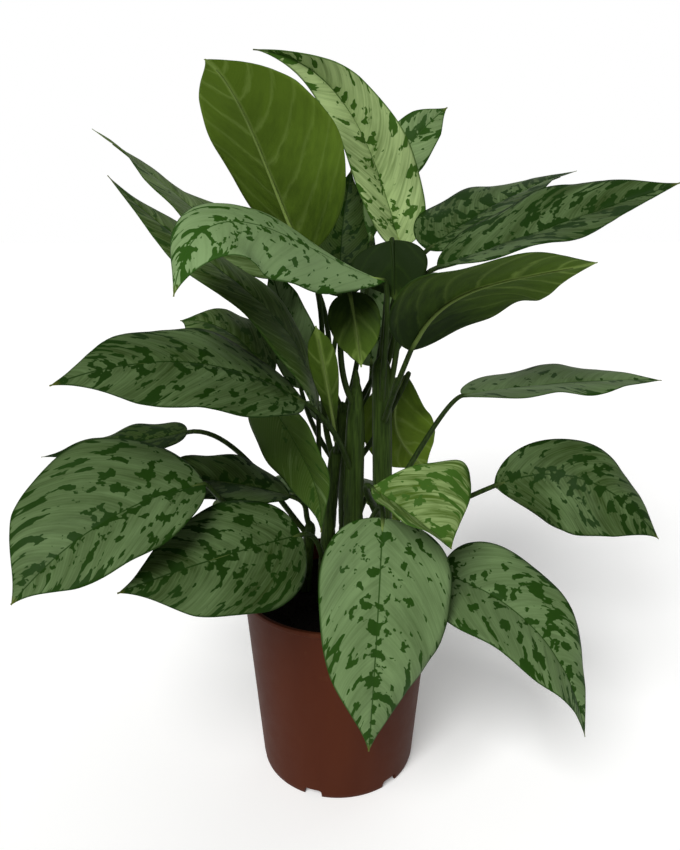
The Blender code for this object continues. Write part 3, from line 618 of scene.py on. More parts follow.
# Each leaf: the cane it grows from and the height it leaves it at, three or four points
# of its midrib from neck to tip, its width, where along it the width is greatest, the
# share of the width that each half has, the compass direction that it faces (its edges
# are level across it), the roll about the midrib and how it changes to the tip, and how
# far each half rises from the midrib and then curls down. Its stalk starts at a lean and
# in a direction to leave in, and rise and reach are how far the curve's handles go. The
# first number of a tone says how silvery the ground is, and on leaves that sit in shade
# it is set low, which paints their shade into the colour; the second says how much of it
# the blotches cover, and the third how young and yellow-green the leaf is.
LEAVES = {
    "leaf_top_left": dict(
        cane="cane_left", foot=296, rise=60, reach=60, leave=125,
        midrib=((-26, 8, 464), (-57, -15, 543), (-76, -52, 587), (-84, -78, 596)),
        width=101, widest=0.41, sides=(1.25, 0.8), facing=262, roll=12, twist=-51,
        fold=(17, 16), wave=2, tone=(0.74, 0.4, 0.45)),
    "leaf_top_arched": dict(
        cane="cane_right", foot=356, reach=30, leave=120,
        midrib=((54, 66, 463), (33, 78, 526), (-2, 68, 586), (-65, 42, 615)),
        width=66, widest=0.27, sides=(0.9, 1.02), facing=75, roll=-38, twist=-19,
        fold=(43, 44), curl=30, wave=3, tone=(0.85, 0.42, 0.72)),
    "leaf_top_behind": dict(
        cane="cane_back", foot=318, rise=50, reach=50,
        midrib=((29, 84, 465), (46, 112, 521), (97, 130, 578)),
        width=51, widest=0.61, sides=(1.04, 0.96), facing=80, roll=9, twist=-7,
        fold=(12, 16), tone=(0.6, 0.6, 0.1)),
    "leaf_left_high": dict(
        cane="cane_back", foot=290, reach=50,
        midrib=((-37, 30, 452), (-122, 42, 500), (-163, 44, 534), (-195, 45, 558)),
        width=70, widest=0.34, sides=(1.07, 0.93), facing=180, roll=7, twist=-57,
        fold=(6, 17), tone=(0.2, 0.3, 0.25)),
    "leaf_left_rising": dict(
        cane="cane_left", foot=272, rise=30,
        midrib=((-16, -16, 341), (-65, -40, 441), (-126, -45, 491), (-161, -45, 525)),
        width=80, widest=0.4, sides=(1.01, 0.99), facing=180, roll=10, twist=9,
        fold=(8, 7), tone=(0.12, 0.3, 0.3)),
    "leaf_left_silver": dict(
        cane="cane_right", foot=340, reach=8,
        midrib=((35, -20, 448), (-27, -60, 481), (-79, -110, 496), (-101, -140, 456)),
        width=81, widest=0.52, sides=(1.2, 0.9), facing=190, roll=24, twist=33,
        fold=(3, 2), curl=30, tone=(0.97, 0.46, 0)),
    "leaf_right_underside": dict(
        cane="cane_right", foot=325, rise=30, reach=35,
        midrib=((53, -68, 405), (87, -95, 451), (124, -118, 466), (163, -125, 475)),
        width=101, widest=0.46, sides=(0.97, 1.03), facing=300, roll=16, twist=22,
        fold=(15, 5), curl=25, tone=(0.4, 0.5, 0)),
    "leaf_right_high": dict(
        cane="cane_right", foot=368, rise=30, leave=50, lean=50,
        midrib=((72, 21, 466), (128, 64, 496), (209, 103, 525)),
        width=73, sides=(1.08, 0.92), facing=40, roll=-7, twist=30,
        fold=(15, 21), tone=(0.18, 0.8, 0)),
    "leaf_right_broad": dict(
        cane="cane_right", foot=346, rise=30, leave=-25,
        midrib=((77, -8, 456), (158, -20, 487), (242, -43, 520)),
        width=92, widest=0.37, sides=(1.02, 0.98), facing=350, roll=-23, twist=-23,
        fold=(20, 24), tone=(0.2, 0.75, 0)),
    # This leaf's tone is held dark as painted shade, for it sits in the plant's shadowed middle.
    "leaf_crown_nodding": dict(
        cane="cane_right", foot=378, reach=10, lean=4,
        midrib=((42, -2, 476), (43, -14, 454), (44, -14, 432)),
        width=70, widest=0.41, sides=(0.93, 0.75), facing=90, roll=-4, twist=6,
        fold=(14, 9), wave=0, tone=(-0.3, 0.4, 0)),
    "leaf_left_middle": dict(
        cane="cane_middle", foot=286, rise=20,
        midrib=((-25, -60, 363), (-102, -100, 404), (-184, -140, 399)),
        width=89, widest=0.42, sides=(1.07, 0.93), facing=195, roll=25, twist=20,
        fold=(6, 5), curl=15, tone=(0.2, 0.56, 0)),
    "leaf_left_behind": dict(
        cane="cane_left", foot=246,
        midrib=((-54, -10, 368), (-90, 0, 405), (-130, 20, 409)),
        width=76, widest=0.35, sides=(1.08, 0.92), facing=180, roll=21, twist=8,
        fold=(12, 9), tone=(0.2, 0.6, 0.25)),
    "leaf_left_hanging": dict(
        cane="cane_left", foot=262, rise=60, reach=24,
        midrib=((-56, -38, 364), (-37, -46, 333), (-17, -60, 295), (-13, -75, 263)),
        width=72, widest=0.27, sides=(0.97, 1.03), facing=250, roll=-5, twist=2,
        fold=(43, 0), tone=(-0.1, 0.1, 0.3)),
    # This leaf's tone is at its darkest: painted shade from the leaf above it.
    "leaf_left_dark": dict(
        cane="cane_low", foot=216,
        midrib=((-124, -10, 322), (-170, -15, 314), (-243, -20, 304)),
        width=70, widest=0.32, facing=180, roll=4, tone=(-0.5, 0.85, 0)),
    "leaf_left_wide": dict(
        cane="cane_low", foot=200, rise=60, reach=6, lean=80,
        midrib=((-98, -88, 309), (-156, -125, 300), (-218, -165, 254)),
        width=110, widest=0.44, sides=(0.79, 1.21), facing=205, roll=33, twist=9,
        fold=(17, 11), curl=15, tone=(0.33, 0.58, 0)),
    "leaf_left_small": dict(
        cane="cane_low", foot=226, rise=30, reach=20,
        midrib=((-39, -29, 273), (-89, -35, 288), (-156, -35, 292)),
        width=61, widest=0.44, sides=(1.03, 0.97), facing=185, roll=18, twist=17,
        fold=(19, 19), tone=(0.12, 0.55, 0)),
    "leaf_left_low": dict(
        cane="cane_left", foot=190, rise=30, reach=20,
        midrib=((-28, -75, 261), (-79, -115, 265), (-151, -150, 254)),
        width=90, sides=(1.08, 0.92), facing=205, roll=37, twist=-13,
        fold=(4, 6), curl=15, tone=(0.2, 0.55, 0)),
    "leaf_front": dict(
        cane="cane_middle", foot=205, reach=30,
        midrib=((34, -85, 280), (29, -130, 222), (23, -150, 121)),
        width=104, widest=0.3, sides=(1.14, 0.86), facing=270, roll=15, twist=18,
        fold=(5, 5), curl=25, tone=(0.58, 0.44, 0)),
    "leaf_young_folded": dict(
        cane="cane_right", foot=232, rise=30, reach=20, stalk=4,
        midrib=((26, -74, 300), (52, -98, 290), (82, -116, 270)),
        width=97, widest=0.57, sides=(1.29, 0.62), facing=325, roll=-22, twist=27,
        fold=(16, 55), tone=(0.28, 0.62, 0.78)),
    "leaf_right_low": dict(
        cane="cane_right", foot=172, rise=30, reach=30,
        midrib=((82, -55, 217), (151, -100, 193), (191, -125, 113)),
        width=90, widest=0.27, facing=305, roll=-4, twist=50,
        fold=(17, 22), curl=25, tone=(0.5, 0.57, 0)),
    "leaf_right_round": dict(
        cane="cane_right", foot=208,
        midrib=((126, -40, 287), (177, -60, 304), (246, -80, 260)),
        width=77, widest=0.47, sides=(0.88, 1.12), facing=0, roll=-46, twist=30,
        fold=(1, -8), tone=(0.17, 0.62, 0)),
    "leaf_right_middle": dict(
        cane="cane_right", foot=250, reach=15,
        midrib=((107, 25, 343), (183, 35, 350), (284, 45, 351)),
        width=79, widest=0.32, sides=(1.04, 0.96), facing=0, roll=-5, twist=-17,
        fold=(16, 18), curl=25, tone=(0.44, 0.3, 0)),
    "leaf_right_inner": dict(
        cane="cane_back", foot=262, rise=60, reach=20,
        midrib=((59, 30, 359), (51, 45, 312), (84, 60, 261)),
        width=67, widest=0.52, sides=(0.97, 1.03), facing=90, roll=-4, twist=4,
        fold=(12, 10), curl=25, tone=(0.68, 0.3, 0.6)),
    "leaf_spear": dict(
        cane="cane_left", foot=302, rise=6, reach=6, stalk=2.4,
        midrib=((-1, -24, 319), (-8, -42, 371), (-16, -54, 420)),
        width=22, widest=0.7, facing=270,
        fold=(20, 20), wave=0, tone=(0.48, 0, 0.1)),
    "leaf_inner_nodding": dict(
        cane="cane_middle", foot=345, rise=50, reach=12,
        midrib=((9, -20, 439), (14, -35, 413), (18, -40, 385)),
        width=40, facing=90,
        curl=25, wave=0, tone=(0.32, 0.4, 0.1)),
    "leaf_back_tall": dict(
        cane="cane_back", foot=324, leave=150,
        midrib=((2, 72, 420), (4, 104, 474), (12, 122, 526)),
        width=62, facing=95, tone=(-0.1, 0.5, 0)),
    "leaf_back_right": dict(
        cane="cane_back", foot=306, reach=30,
        midrib=((48, 75, 389), (63, 130, 430), (59, 200, 395)),
        width=80, facing=75),
    "leaf_back_high": dict(
        cane="cane_back", foot=276, rise=50, reach=30,
        midrib=((31, 90, 352), (33, 150, 384), (43, 215, 330)),
        width=70, facing=95),
    "leaf_back_low_left": dict(
        cane="cane_back", foot=172, rise=30, reach=30,
        midrib=((-40, 70, 230), (-85, 120, 215), (-140, 165, 150)),
        width=84, facing=140),
    "leaf_back_low_right": dict(
        cane="cane_back", foot=186, rise=30, reach=30,
        midrib=((32, 78, 235), (45, 130, 215), (62, 175, 140)),
        width=84, facing=70),
    "leaf_back_middle": dict(
        cane="cane_back", foot=228, rise=30, reach=30,
        midrib=((2, 78, 296), (2, 140, 300), (8, 200, 240)),
        width=74, facing=92),
    "leaf_back_left": dict(
        cane="cane_back", foot=262, reach=20,
        midrib=((-32, 34, 347), (-43, 48, 395), (-60, 60, 452)),
        width=46, facing=110,
        fold=(35, 35)),
}
print(len(CANES), "stems and", len(LEAVES), "leaves")

# %% [markdown]
# ## The form of a leaf
#
# A blade is swept along its midrib. At each station there is a forward direction along
# the midrib, a sideways one that starts level and is rolled, and an upward one. Each half
# rises from the midrib at its fold angle and curls down in an arc, and the margin waves.
# The outline is a power curve: round at the base and drawn out to the tip.

# %% Leaf form
NECK_HALF_WIDTH = 2.5
TIP_HALF_WIDTH = 0.7
RUN_POINTS = 120
MARGIN_WAVES = 2.5
UP = Vector((0, 0, 1))


def compass(degrees):
    """The level direction at an angle round the plant."""
    turn = math.radians(degrees)
    return Vector((math.cos(turn), math.sin(turn), 0))


def smooth_run(points, count):
    """Points spread evenly by parameter on the smooth curve through three or four points."""
    stops = [0.0]
    for before, after in zip(points, points[1:]):
        stops.append(stops[-1] + (Vector(after) - Vector(before)).length)
    stops = [stop / stops[-1] for stop in stops]
    run = []
    for step in range(count):
        at = step / (count - 1)
        spot = Vector((0, 0, 0))
        for i, point in enumerate(points):
            others = stops[:i] + stops[i + 1:]
            spot += math.prod((at - stop) / (stops[i] - stop) for stop in others) * Vector(point)
        run.append(spot)
    return run


def run_length(run):
    """The length of a run of points."""
    return sum((b - a).length for a, b in zip(run, run[1:]))


def at_share(run, share):
    """The point a share of the way along a run of points, by its length."""
    left = max(0.0, min(1.0, share)) * run_length(run)
    for a, b in zip(run, run[1:]):
        length = (b - a).length
        if left <= length:
            return a.lerp(b, left / length)
        left -= length
    return run[-1].copy()


def heading_at(run, share):
    """The direction of a run of points at a share of its length."""
    step = 0.02
    return (at_share(run, share + step) - at_share(run, share - step)).normalized()


def blade_half_width(share, width, widest):
    """Half the blade's width a share of the way along it: round base, drawn-out tip."""
    base_power = 0.48
    tip_power = 0.85
    natural = base_power / (base_power + tip_power)
    t = share ** (math.log(natural) / math.log(widest))
    peak = natural ** base_power * (1 - natural) ** tip_power
    outline = t ** base_power * (1 - t) ** tip_power / peak
    drawn = 1 - 0.75 * max(0.0, (t - 0.7) / 0.3) ** 1.5
    least = NECK_HALF_WIDTH if share < 0.5 else TIP_HALF_WIDTH
    return max(outline * drawn * width / 2, least)


def blade_frame(leaf, run, share):
    """The middle of a blade at a share of its length, with forward, sideways and upward."""
    level = compass(leaf["facing"]).cross(UP)
    forward = heading_at(run, share)
    side = (level - forward * level.dot(forward)).normalized()
    roll = math.radians(leaf["roll"] + leaf["twist"] * (share - 0.5))
    side = Matrix.Rotation(-roll, 3, forward) @ side
    return at_share(run, share), forward, side, side.cross(forward)


def blade_point(leaf, frame, share, across):
    """A point of the blade: across is -1 at one margin and 1 at the other."""
    middle, _, side, upward = frame
    hand = 0 if across < 0 else 1
    half = blade_half_width(share, leaf["width"], leaf["widest"]) * leaf["sides"][hand]
    fold = math.radians(leaf["fold"][hand])
    curl = math.radians(leaf["curl"])
    out = abs(across)
    flat = half * (math.sin(fold) - math.sin(fold - curl * out)) / curl
    lift = half * (math.cos(fold - curl * out) - math.cos(fold)) / curl
    ripple = leaf["wave"] * math.sin(math.pi * share) * out * out
    shift = 1.7 if across > 0 else 0
    lift += ripple * math.sin(2 * math.pi * MARGIN_WAVES * share + shift)
    return middle + side * math.copysign(flat, across) + upward * lift, half


midribs = {name: run_length(smooth_run(leaf["midrib"], RUN_POINTS)) for name, leaf in LEAVES.items()}
print("the longest blade:", max(midribs, key=midribs.get), round(max(midribs.values())), "mm")

# %% [markdown]
# The blade's sheet carries its own coordinates. A side vein leaves the midrib at a slant
# and bends towards the tip, so the count along the midrib, less the slant, is the same
# all along one vein. That count is what both the relief and the colours follow.

# %% Blade sheet
STATIONS = 110
HALF_ACROSS = 13
END_CROWDING = 0.09
CROWDING = 1.35
VEIN_SLANT = 0.62
VEIN_BEND = 0.75
LEAF_APART = 7.3


def blade_sheet(name, leaf, number):
    """The blade as an open sheet with its leaf coordinates."""
    run = smooth_run(leaf["midrib"], RUN_POINTS)
    length = run_length(run)
    points, vein, place = [], [], []
    for step in range(STATIONS):
        even = step / (STATIONS - 1)
        share = even - END_CROWDING * math.sin(2 * math.pi * even)
        frame_here = blade_frame(leaf, run, share)
        for column in range(-HALF_ACROSS, HALF_ACROSS + 1):
            out = abs(column / HALF_ACROSS) ** CROWDING
            across = math.copysign(out, column)
            point, half = blade_point(leaf, frame_here, share, across)
            aside = half * out
            count = share * length - aside * (VEIN_SLANT + VEIN_BEND * out)
            points.append(point * MM)
            vein.append((count, math.copysign(aside, across), number * LEAF_APART))
            place.append((share, across, half))
    wide = 2 * HALF_ACROSS + 1
    corners = [i * wide + j for i in range(STATIONS - 1) for j in range(wide - 1)]
    mesh = bpy.data.meshes.new(name)
    mesh.from_pydata(points, [], [(c, c + 1, c + wide + 1, c + wide) for c in corners])
    for label, rows in (("vein_mm", vein), ("place", place), ("tone", [leaf["tone"]] * len(points))):
        layer = mesh.attributes.new(label, "FLOAT_VECTOR", "POINT")
        layer.data.foreach_set("vector", [value for row in rows for value in row])
    return placed(name, mesh)


print("each sheet has", STATIONS * (2 * HALF_ACROSS + 1), "points")

# %% [markdown]
# ## Shaping a leaf
#
# One Geometry Nodes tree takes the thin sheet and makes a real leaf of it. It is built
# here in three steps. The first quilts the blade: a rounded panel rises between each side
# vein and the next, none at the margin, and soft dents make the whole a little uneven.
# Where the normals point is kept as `up`, because the next step needs it.

# %% Quilting
DENT_LENGTH = 30
DENT_WIDTH = 18


def quilted(tree, given, vein, place):
    """The sheet, quilted between its side veins and a little uneven."""
    along, across, _ = add(tree, "ShaderNodeSeparateXYZ", [place]).outputs
    count = add(tree, "ShaderNodeSeparateXYZ", [vein]).outputs["X"]
    panel = rhythm(tree, count, given["Vein spacing"])
    panel = add(tree, "ShaderNodeMath", [panel, 0.7], operation="POWER")
    panel = add(tree, "ShaderNodeMath", [panel, 0.6], operation="SUBTRACT")
    out = add(tree, "ShaderNodeMath", [across], operation="ABSOLUTE")
    edge = add(tree, "ShaderNodeMapRange",
               {"Value": out, "From Min": 0.55, "To Min": 1.0, "To Max": 0.0})
    root = add(tree, "ShaderNodeMapRange", {"Value": out, "From Max": 0.15})
    ends = add(tree, "ShaderNodeMath", [along, math.pi], operation="MULTIPLY")
    ends = add(tree, "ShaderNodeMath", [ends], operation="SINE")
    quilt = edge
    for factor in (root, ends, panel, given["Quilting"]):
        quilt = add(tree, "ShaderNodeMath", [quilt, factor], operation="MULTIPLY")
    soft = add(tree, "ShaderNodeVectorMath", [vein, (1 / DENT_LENGTH, 1 / DENT_WIDTH, 1)],
               operation="MULTIPLY")
    bend = add(tree, "ShaderNodeTexNoise", {"Vector": soft, "Scale": 1, "Detail": 1})
    bend = add(tree, "ShaderNodeMath", [bend, 0.5], operation="SUBTRACT")
    for factor in (given["Unevenness"], ends):
        bend = add(tree, "ShaderNodeMath", [bend, factor], operation="MULTIPLY")
    rise = add(tree, "ShaderNodeMath", [quilt, bend], operation="ADD")
    normal = add(tree, "GeometryNodeInputNormal")
    shift = add(tree, "ShaderNodeVectorMath", {0: normal, "Scale": rise}, operation="SCALE")
    shaped = add(tree, "GeometryNodeSetPosition", {"Geometry": given["Geometry"], "Offset": shift})
    return add(tree, "GeometryNodeStoreNamedAttribute",
               {"Geometry": shaped, "Name": "up", "Value": normal},
               data_type="FLOAT_VECTOR", domain="POINT")


print("dents about", DENT_LENGTH, "by", DENT_WIDTH, "mm")

# %% [markdown]
# The second step makes a closed skin with a face, a back and a margin. The sheet is
# extruded by nothing, the copy becomes the face and moves up, and the flipped sheet
# becomes the back and moves down. Both follow the same normals, so the leaf is evenly
# thick, and a little thinner at the margin. A groove is pressed in along the midrib.

# %% Thickness
GROOVE_HALF_WIDTH = 2.2


def closed_blade(tree, given, sheet, vein, place):
    """A closed blade of the leaf's thickness, with its face and its back painted."""
    across = add(tree, "ShaderNodeSeparateXYZ", [place]).outputs["Y"]
    aside = add(tree, "ShaderNodeSeparateXYZ", [vein]).outputs["Y"]
    out, from_midrib = [add(tree, "ShaderNodeMath", [way], operation="ABSOLUTE")
                        for way in (across, aside)]
    thin = add(tree, "ShaderNodeMapRange", {"Value": out, "To Min": 0.5, "To Max": 0.22})
    half = add(tree, "ShaderNodeMath", [thin, given["Thickness"]], operation="MULTIPLY")
    dip = add(tree, "ShaderNodeMapRange",
              {"Value": from_midrib, "From Max": GROOVE_HALF_WIDTH, "To Min": 1.0, "To Max": 0.0},
              interpolation_type="SMOOTHSTEP")
    dip = add(tree, "ShaderNodeMath", [dip, given["Groove"]], operation="MULTIPLY")
    height = add(tree, "ShaderNodeMath", [half, dip], operation="SUBTRACT")
    drop = add(tree, "ShaderNodeMath", [half, -1.0], operation="MULTIPLY")
    up = add(tree, "GeometryNodeInputNamedAttribute", {"Name": "up"}, data_type="FLOAT_VECTOR")
    lift, down = [add(tree, "ShaderNodeVectorMath", {0: up, "Scale": way}, operation="SCALE")
                  for way in (height, drop)]
    face = add(tree, "GeometryNodeExtrudeMesh",
               {"Mesh": sheet, "Offset Scale": 0.0, "Individual": False})
    top = face.outputs["Top"]
    rest = add(tree, "FunctionNodeBooleanMath", [top], operation="NOT")
    for points, way in ((top, lift), (rest, down)):
        face = add(tree, "GeometryNodeSetPosition",
                   {"Geometry": face, "Selection": points, "Offset": way})
    face = add(tree, "GeometryNodeSetMaterial", {"Geometry": face, "Material": given["Face"]})
    back = add(tree, "GeometryNodeFlipFaces", {"Mesh": sheet})
    back = add(tree, "GeometryNodeSetPosition", {"Geometry": back, "Offset": down})
    back = add(tree, "GeometryNodeSetMaterial", {"Geometry": back, "Material": given["Back"]})
    skin = add(tree, "GeometryNodeJoinGeometry", [[face, back]])
    return add(tree, "GeometryNodeMergeByDistance", {"Geometry": skin, "Distance": MERGE * MM})


print("the groove is", 2 * GROOVE_HALF_WIDTH, "mm wide")

# %% [markdown]
# The last step sweeps the stalk along its own curve and joins it to the blade. The curve
# carries its own measure, which is 1 at the neck, and the leaf's tone.

# %% Leaf tree


def leaf_tree():
    """Grows a thick, quilted blade and its stalk from a sheet and a guide curve."""
    tree, given, result = new_tree("leaf_grower", {
        "Stalk": ("Object", None),
        "Neck share": ("Float", 0.5),
        "Vein spacing": ("Float", SIDE_VEIN),
        "Quilting": ("Float", 0.8 * MM),
        "Unevenness": ("Float", 2.2 * MM),
        "Thickness": ("Float", 0.8 * MM),
        "Groove": ("Float", 0.3 * MM),
        "Stalk sides": ("Int", 14),
        "Face": ("Material", LEAF_FACE),
        "Back": ("Material", LEAF_BACK),
        "Stalk skin": ("Material", STALK_SKIN),
    })
    vein, place, tone = [
        add(tree, "GeometryNodeInputNamedAttribute", {"Name": label}, data_type="FLOAT_VECTOR")
        for label in ("vein_mm", "place", "tone")]
    sheet = quilted(tree, given, vein, place)
    blade = closed_blade(tree, given, sheet, vein, place)
    guide = add(tree, "GeometryNodeObjectInfo", {"Object": given["Stalk"]}).outputs["Geometry"]
    along = add(tree, "GeometryNodeSplineParameter").outputs["Factor"]
    along = add(tree, "ShaderNodeMath", [along, given["Neck share"]], operation="DIVIDE")
    first = add(tree, "GeometryNodeSampleIndex", {"Geometry": given["Geometry"], "Value": tone},
                data_type="FLOAT_VECTOR", domain="POINT")
    for label, value, kind in (("along", along, "FLOAT"), ("tone", first, "FLOAT_VECTOR")):
        guide = add(tree, "GeometryNodeStoreNamedAttribute",
                    {"Geometry": guide, "Name": label, "Value": value},
                    data_type=kind, domain="POINT")
    stalk = swept(tree, guide, given["Stalk sides"])
    stalk = add(tree, "GeometryNodeSetMaterial", {"Geometry": stalk, "Material": given["Stalk skin"]})
    whole = add(tree, "GeometryNodeJoinGeometry", [[blade, stalk]])
    smooth = add(tree, "GeometryNodeSetShadeSmooth", {"Geometry": whole})
    clean = add(tree, "GeometryNodeRemoveAttribute", {"Geometry": smooth, "Name": "up"})
    real = add(tree, "GeometryNodeRealizeInstances", {"Geometry": clean})
    tree.links.new(real.outputs[0], result)
    return tree


LEAF_TREE = leaf_tree()
print(LEAF_TREE.name, "has", len(LEAF_TREE.nodes), "nodes")

# %% [markdown]
# ## The stalks' paths
#
# A stalk leaves its stem steeply and bends over to meet the blade from behind. A cubic
# curve with a handle at each end does that. Past the neck it runs on under the blade as
# the midrib, which stands out below and thins to nothing near the tip.

# %% Stalk paths
STALK_STEPS = 22
NECK_RADIUS = 1.9
MIDRIB_STEPS = 20
MIDRIB_END = 0.9
MIDRIB_TIP_RADIUS = 0.4
MIDRIB_DEPTH = 0.15


def cane_axis(cane, height):
    """The middle of a stem at a height."""
    run = smooth_run(cane["path"], 40)
    for below, above in zip(run, run[1:]):
        if above.z >= height:
            return below.lerp(above, (height - below.z) / (above.z - below.z))
    return run[-1].copy()


def stalk_path(leaf):
    """A stalk's points and radii, the midrib's after them, and the neck's share of the way."""
    run = smooth_run(leaf["midrib"], RUN_POINTS)
    foot = cane_axis(CANES[leaf["cane"]], leaf["foot"])
    neck, forward, _, _ = blade_frame(leaf, run, 0.0)
    if leaf["leave"] is None:
        outward = Vector((neck.x - foot.x, neck.y - foot.y, 0)).normalized()
    else:
        outward = compass(leaf["leave"])
    lean = math.radians(leaf["lean"])
    first = foot + (outward * math.sin(lean) + UP * math.cos(lean)) * leaf["rise"]
    second = neck - forward * leaf["reach"]
    points, radii = [], []
    for step in range(STALK_STEPS + 1):
        t = step / STALK_STEPS
        points.append((1 - t) ** 3 * foot + 3 * (1 - t) ** 2 * t * first
                      + 3 * (1 - t) * t * t * second + t ** 3 * neck)
        radii.append(leaf["stalk"] + (NECK_RADIUS - leaf["stalk"]) * t)
    neck_point = len(points)
    for step in range(1, MIDRIB_STEPS + 1):
        share = MIDRIB_END * (step / MIDRIB_STEPS) ** 1.3
        middle, _, _, upward = blade_frame(leaf, run, share)
        radius = NECK_RADIUS + (MIDRIB_TIP_RADIUS - NECK_RADIUS) * (share / MIDRIB_END) ** 0.6
        sunk = min(1.0, share / 0.07) * (radius + MIDRIB_DEPTH)
        points.append(middle - upward * sunk)
        radii.append(radius)
    return points, radii, run_length(points[:neck_point]) / run_length(points)


front = {**LEAF_DEFAULTS, **LEAVES["leaf_front"]}
print("the front leaf's neck is at", round(stalk_path(front)[2], 2), "of its stalk and midrib")

# %% [markdown]
# ## Growing every leaf
#
# No two leaves are alike. Each gets a sheet and a stalk's guide from its own values, and a
# number of its own that shifts its random patterns. One tree grows them all, and the
# sheets and guides are removed.

# %% Leaves
triangles = 0
for number, (name, choices) in enumerate(LEAVES.items()):
    leaf = {**LEAF_DEFAULTS, **choices}
    sheet = blade_sheet(name + "_sheet", leaf, number)
    points, radii, neck_share = stalk_path(leaf)
    guide = guide_curve(name + "_stalk", points, radii)
    piece = grown(name + "_grown", sheet, LEAF_TREE, {"Stalk": guide, "Neck share": neck_share})
    bpy.data.objects.remove(guide)
    stand_for(piece, name)
    triangles += sum(len(face.vertices) - 2 for face in piece.data.polygons)
print(len(LEAVES), "leaves,", triangles, "triangles")

# %% [markdown]
# ## The stems
#
# Each stem is short and thick, and wrapped in the feet of its leaf stalks. It is swept
# like a stalk. The tree then gives it long flutes, where the wrapped feet meet, and a
# ring every so often, where an old leaf has dropped off.

# %% Stems
CANE_RINGS = 70
RING_SPACING = 19
FLUTE_WIDTH = 4
FLUTE_LENGTH = 90


def cane_tree():
    """Sweeps a stem and gives it flutes and leaf scars."""
    tree, given, result = new_tree("stem_grower", {
        "Sides": ("Int", 28),
        "Ring spacing": ("Float", RING_SPACING * MM),
        "Ring depth": ("Float", 0.5 * MM),
        "Flute depth": ("Float", 0.9 * MM),
        "Skin": ("Material", STEM_SKIN),
    })
    guide = given["Geometry"]
    parameter = add(tree, "GeometryNodeSplineParameter").outputs
    for label, value in (("along", parameter["Factor"]), ("reach", parameter["Length"])):
        guide = add(tree, "GeometryNodeStoreNamedAttribute",
                    {"Geometry": guide, "Name": label, "Value": value},
                    data_type="FLOAT", domain="POINT")
    tube = swept(tree, guide, given["Sides"])
    reach = add(tree, "GeometryNodeInputNamedAttribute", {"Name": "reach"}, data_type="FLOAT")
    scar = rhythm(tree, reach, given["Ring spacing"])
    scar = add(tree, "ShaderNodeMapRange",
               {"Value": scar, "From Max": 0.25, "To Min": -1.0, "To Max": 0.0},
               interpolation_type="SMOOTHSTEP")
    scar = add(tree, "ShaderNodeMath", [scar, given["Ring depth"]], operation="MULTIPLY")
    spot = add(tree, "GeometryNodeInputPosition")
    grain = (1 / (FLUTE_WIDTH * MM), 1 / (FLUTE_WIDTH * MM), 1 / (FLUTE_LENGTH * MM))
    squeezed = add(tree, "ShaderNodeVectorMath", [spot, grain], operation="MULTIPLY")
    flute = add(tree, "ShaderNodeTexNoise", {"Vector": squeezed, "Scale": 1, "Detail": 1})
    flute = add(tree, "ShaderNodeMath", [flute, 0.62], operation="SUBTRACT")
    flute = add(tree, "ShaderNodeMath", [flute, given["Flute depth"]], operation="MULTIPLY")
    rise = add(tree, "ShaderNodeMath", [scar, flute], operation="ADD")
    normal = add(tree, "GeometryNodeInputNormal")
    shift = add(tree, "ShaderNodeVectorMath", {0: normal, "Scale": rise}, operation="SCALE")
    shaped = add(tree, "GeometryNodeSetPosition", {"Geometry": tube, "Offset": shift})
    closed = add(tree, "GeometryNodeMergeByDistance", {"Geometry": shaped, "Distance": MERGE * MM})
    smooth = add(tree, "GeometryNodeSetShadeSmooth", {"Geometry": closed})
    real = add(tree, "GeometryNodeRealizeInstances", {"Geometry": smooth})
    painted = add(tree, "GeometryNodeSetMaterial", {"Geometry": real, "Material": given["Skin"]})
    tree.links.new(painted.outputs[0], result)
    return tree


def cane_run(cane):
    """The points and radii of a stem, which ends in a point."""
    run = smooth_run(cane["path"], RUN_POINTS)
    height = (run[-1] - run[0]).length
    low, high = cane["radius"]
    start = 1 - cane["point"] / height
    points, radii = [], []
    for step in range(CANE_RINGS + 1):
        share = step / CANE_RINGS
        radius = low + (high - low) * share
        if share > start:
            bit = (share - start) / (1 - start)
            radius *= max(0.14, 1 - 0.22 * bit - 0.64 * bit ** 3)
        points.append(at_share(run, share))
        radii.append(radius)
    return points, radii


stem_grower = cane_tree()
for name, cane in CANES.items():
    guide = guide_curve(name + "_guide", *cane_run(cane))
    stand_for(grown(name + "_grown", guide, stem_grower, {}), name)
print(len(CANES), "stems with a ring every", RING_SPACING, "mm")

# %% [markdown]
# ## The soil
#
# Potting soil is peat and bark: nearly black when damp, loose, and never level. Its colour
# here is darker still, with the shade that the leaves cast on it painted in. The plain
# solid gives the level and the body. The tree divides it finely, heaves its top with
# noise, and strews crumbs over it: small balls of few faces, squashed and turned at
# random, because hundreds of them have to stay light. The seed is fixed, so each run
# strews them the same way.

# %% Soil
CRUMB_LARGEST = 2.6
SOIL_GRAIN = 1.5
SOIL_LUMP = 6
HEAVED_LUMP = 9
WELD = 0.01


def soil_skin():
    """Damp potting soil, darker still with painted shade from the leaves above."""
    skin, tree, shader = new_skin("damp_soil_and_painted_shade", Roughness=0.95, Specular_IOR_Level=0.1)
    spot = add(tree, "ShaderNodeTexCoord").outputs["Object"]
    lump = add(tree, "ShaderNodeTexNoise",
               {"Vector": spot, "Scale": 1 / (SOIL_LUMP * MM), "Detail": 6, "Roughness": 0.7})
    # Nearly black: the soil's own dark colour with painted shade from the leaves above.
    colour = add(tree, "ShaderNodeMix", {"Factor": lump, "A": "#050403", "B": "#19130d"},
                 data_type="RGBA")
    grain = add(tree, "ShaderNodeTexNoise",
                {"Vector": spot, "Scale": 1 / (SOIL_GRAIN * MM), "Detail": 3})
    finish_skin(tree, shader, colour, (), grain, strength=0.9, depth=0.8)
    return skin


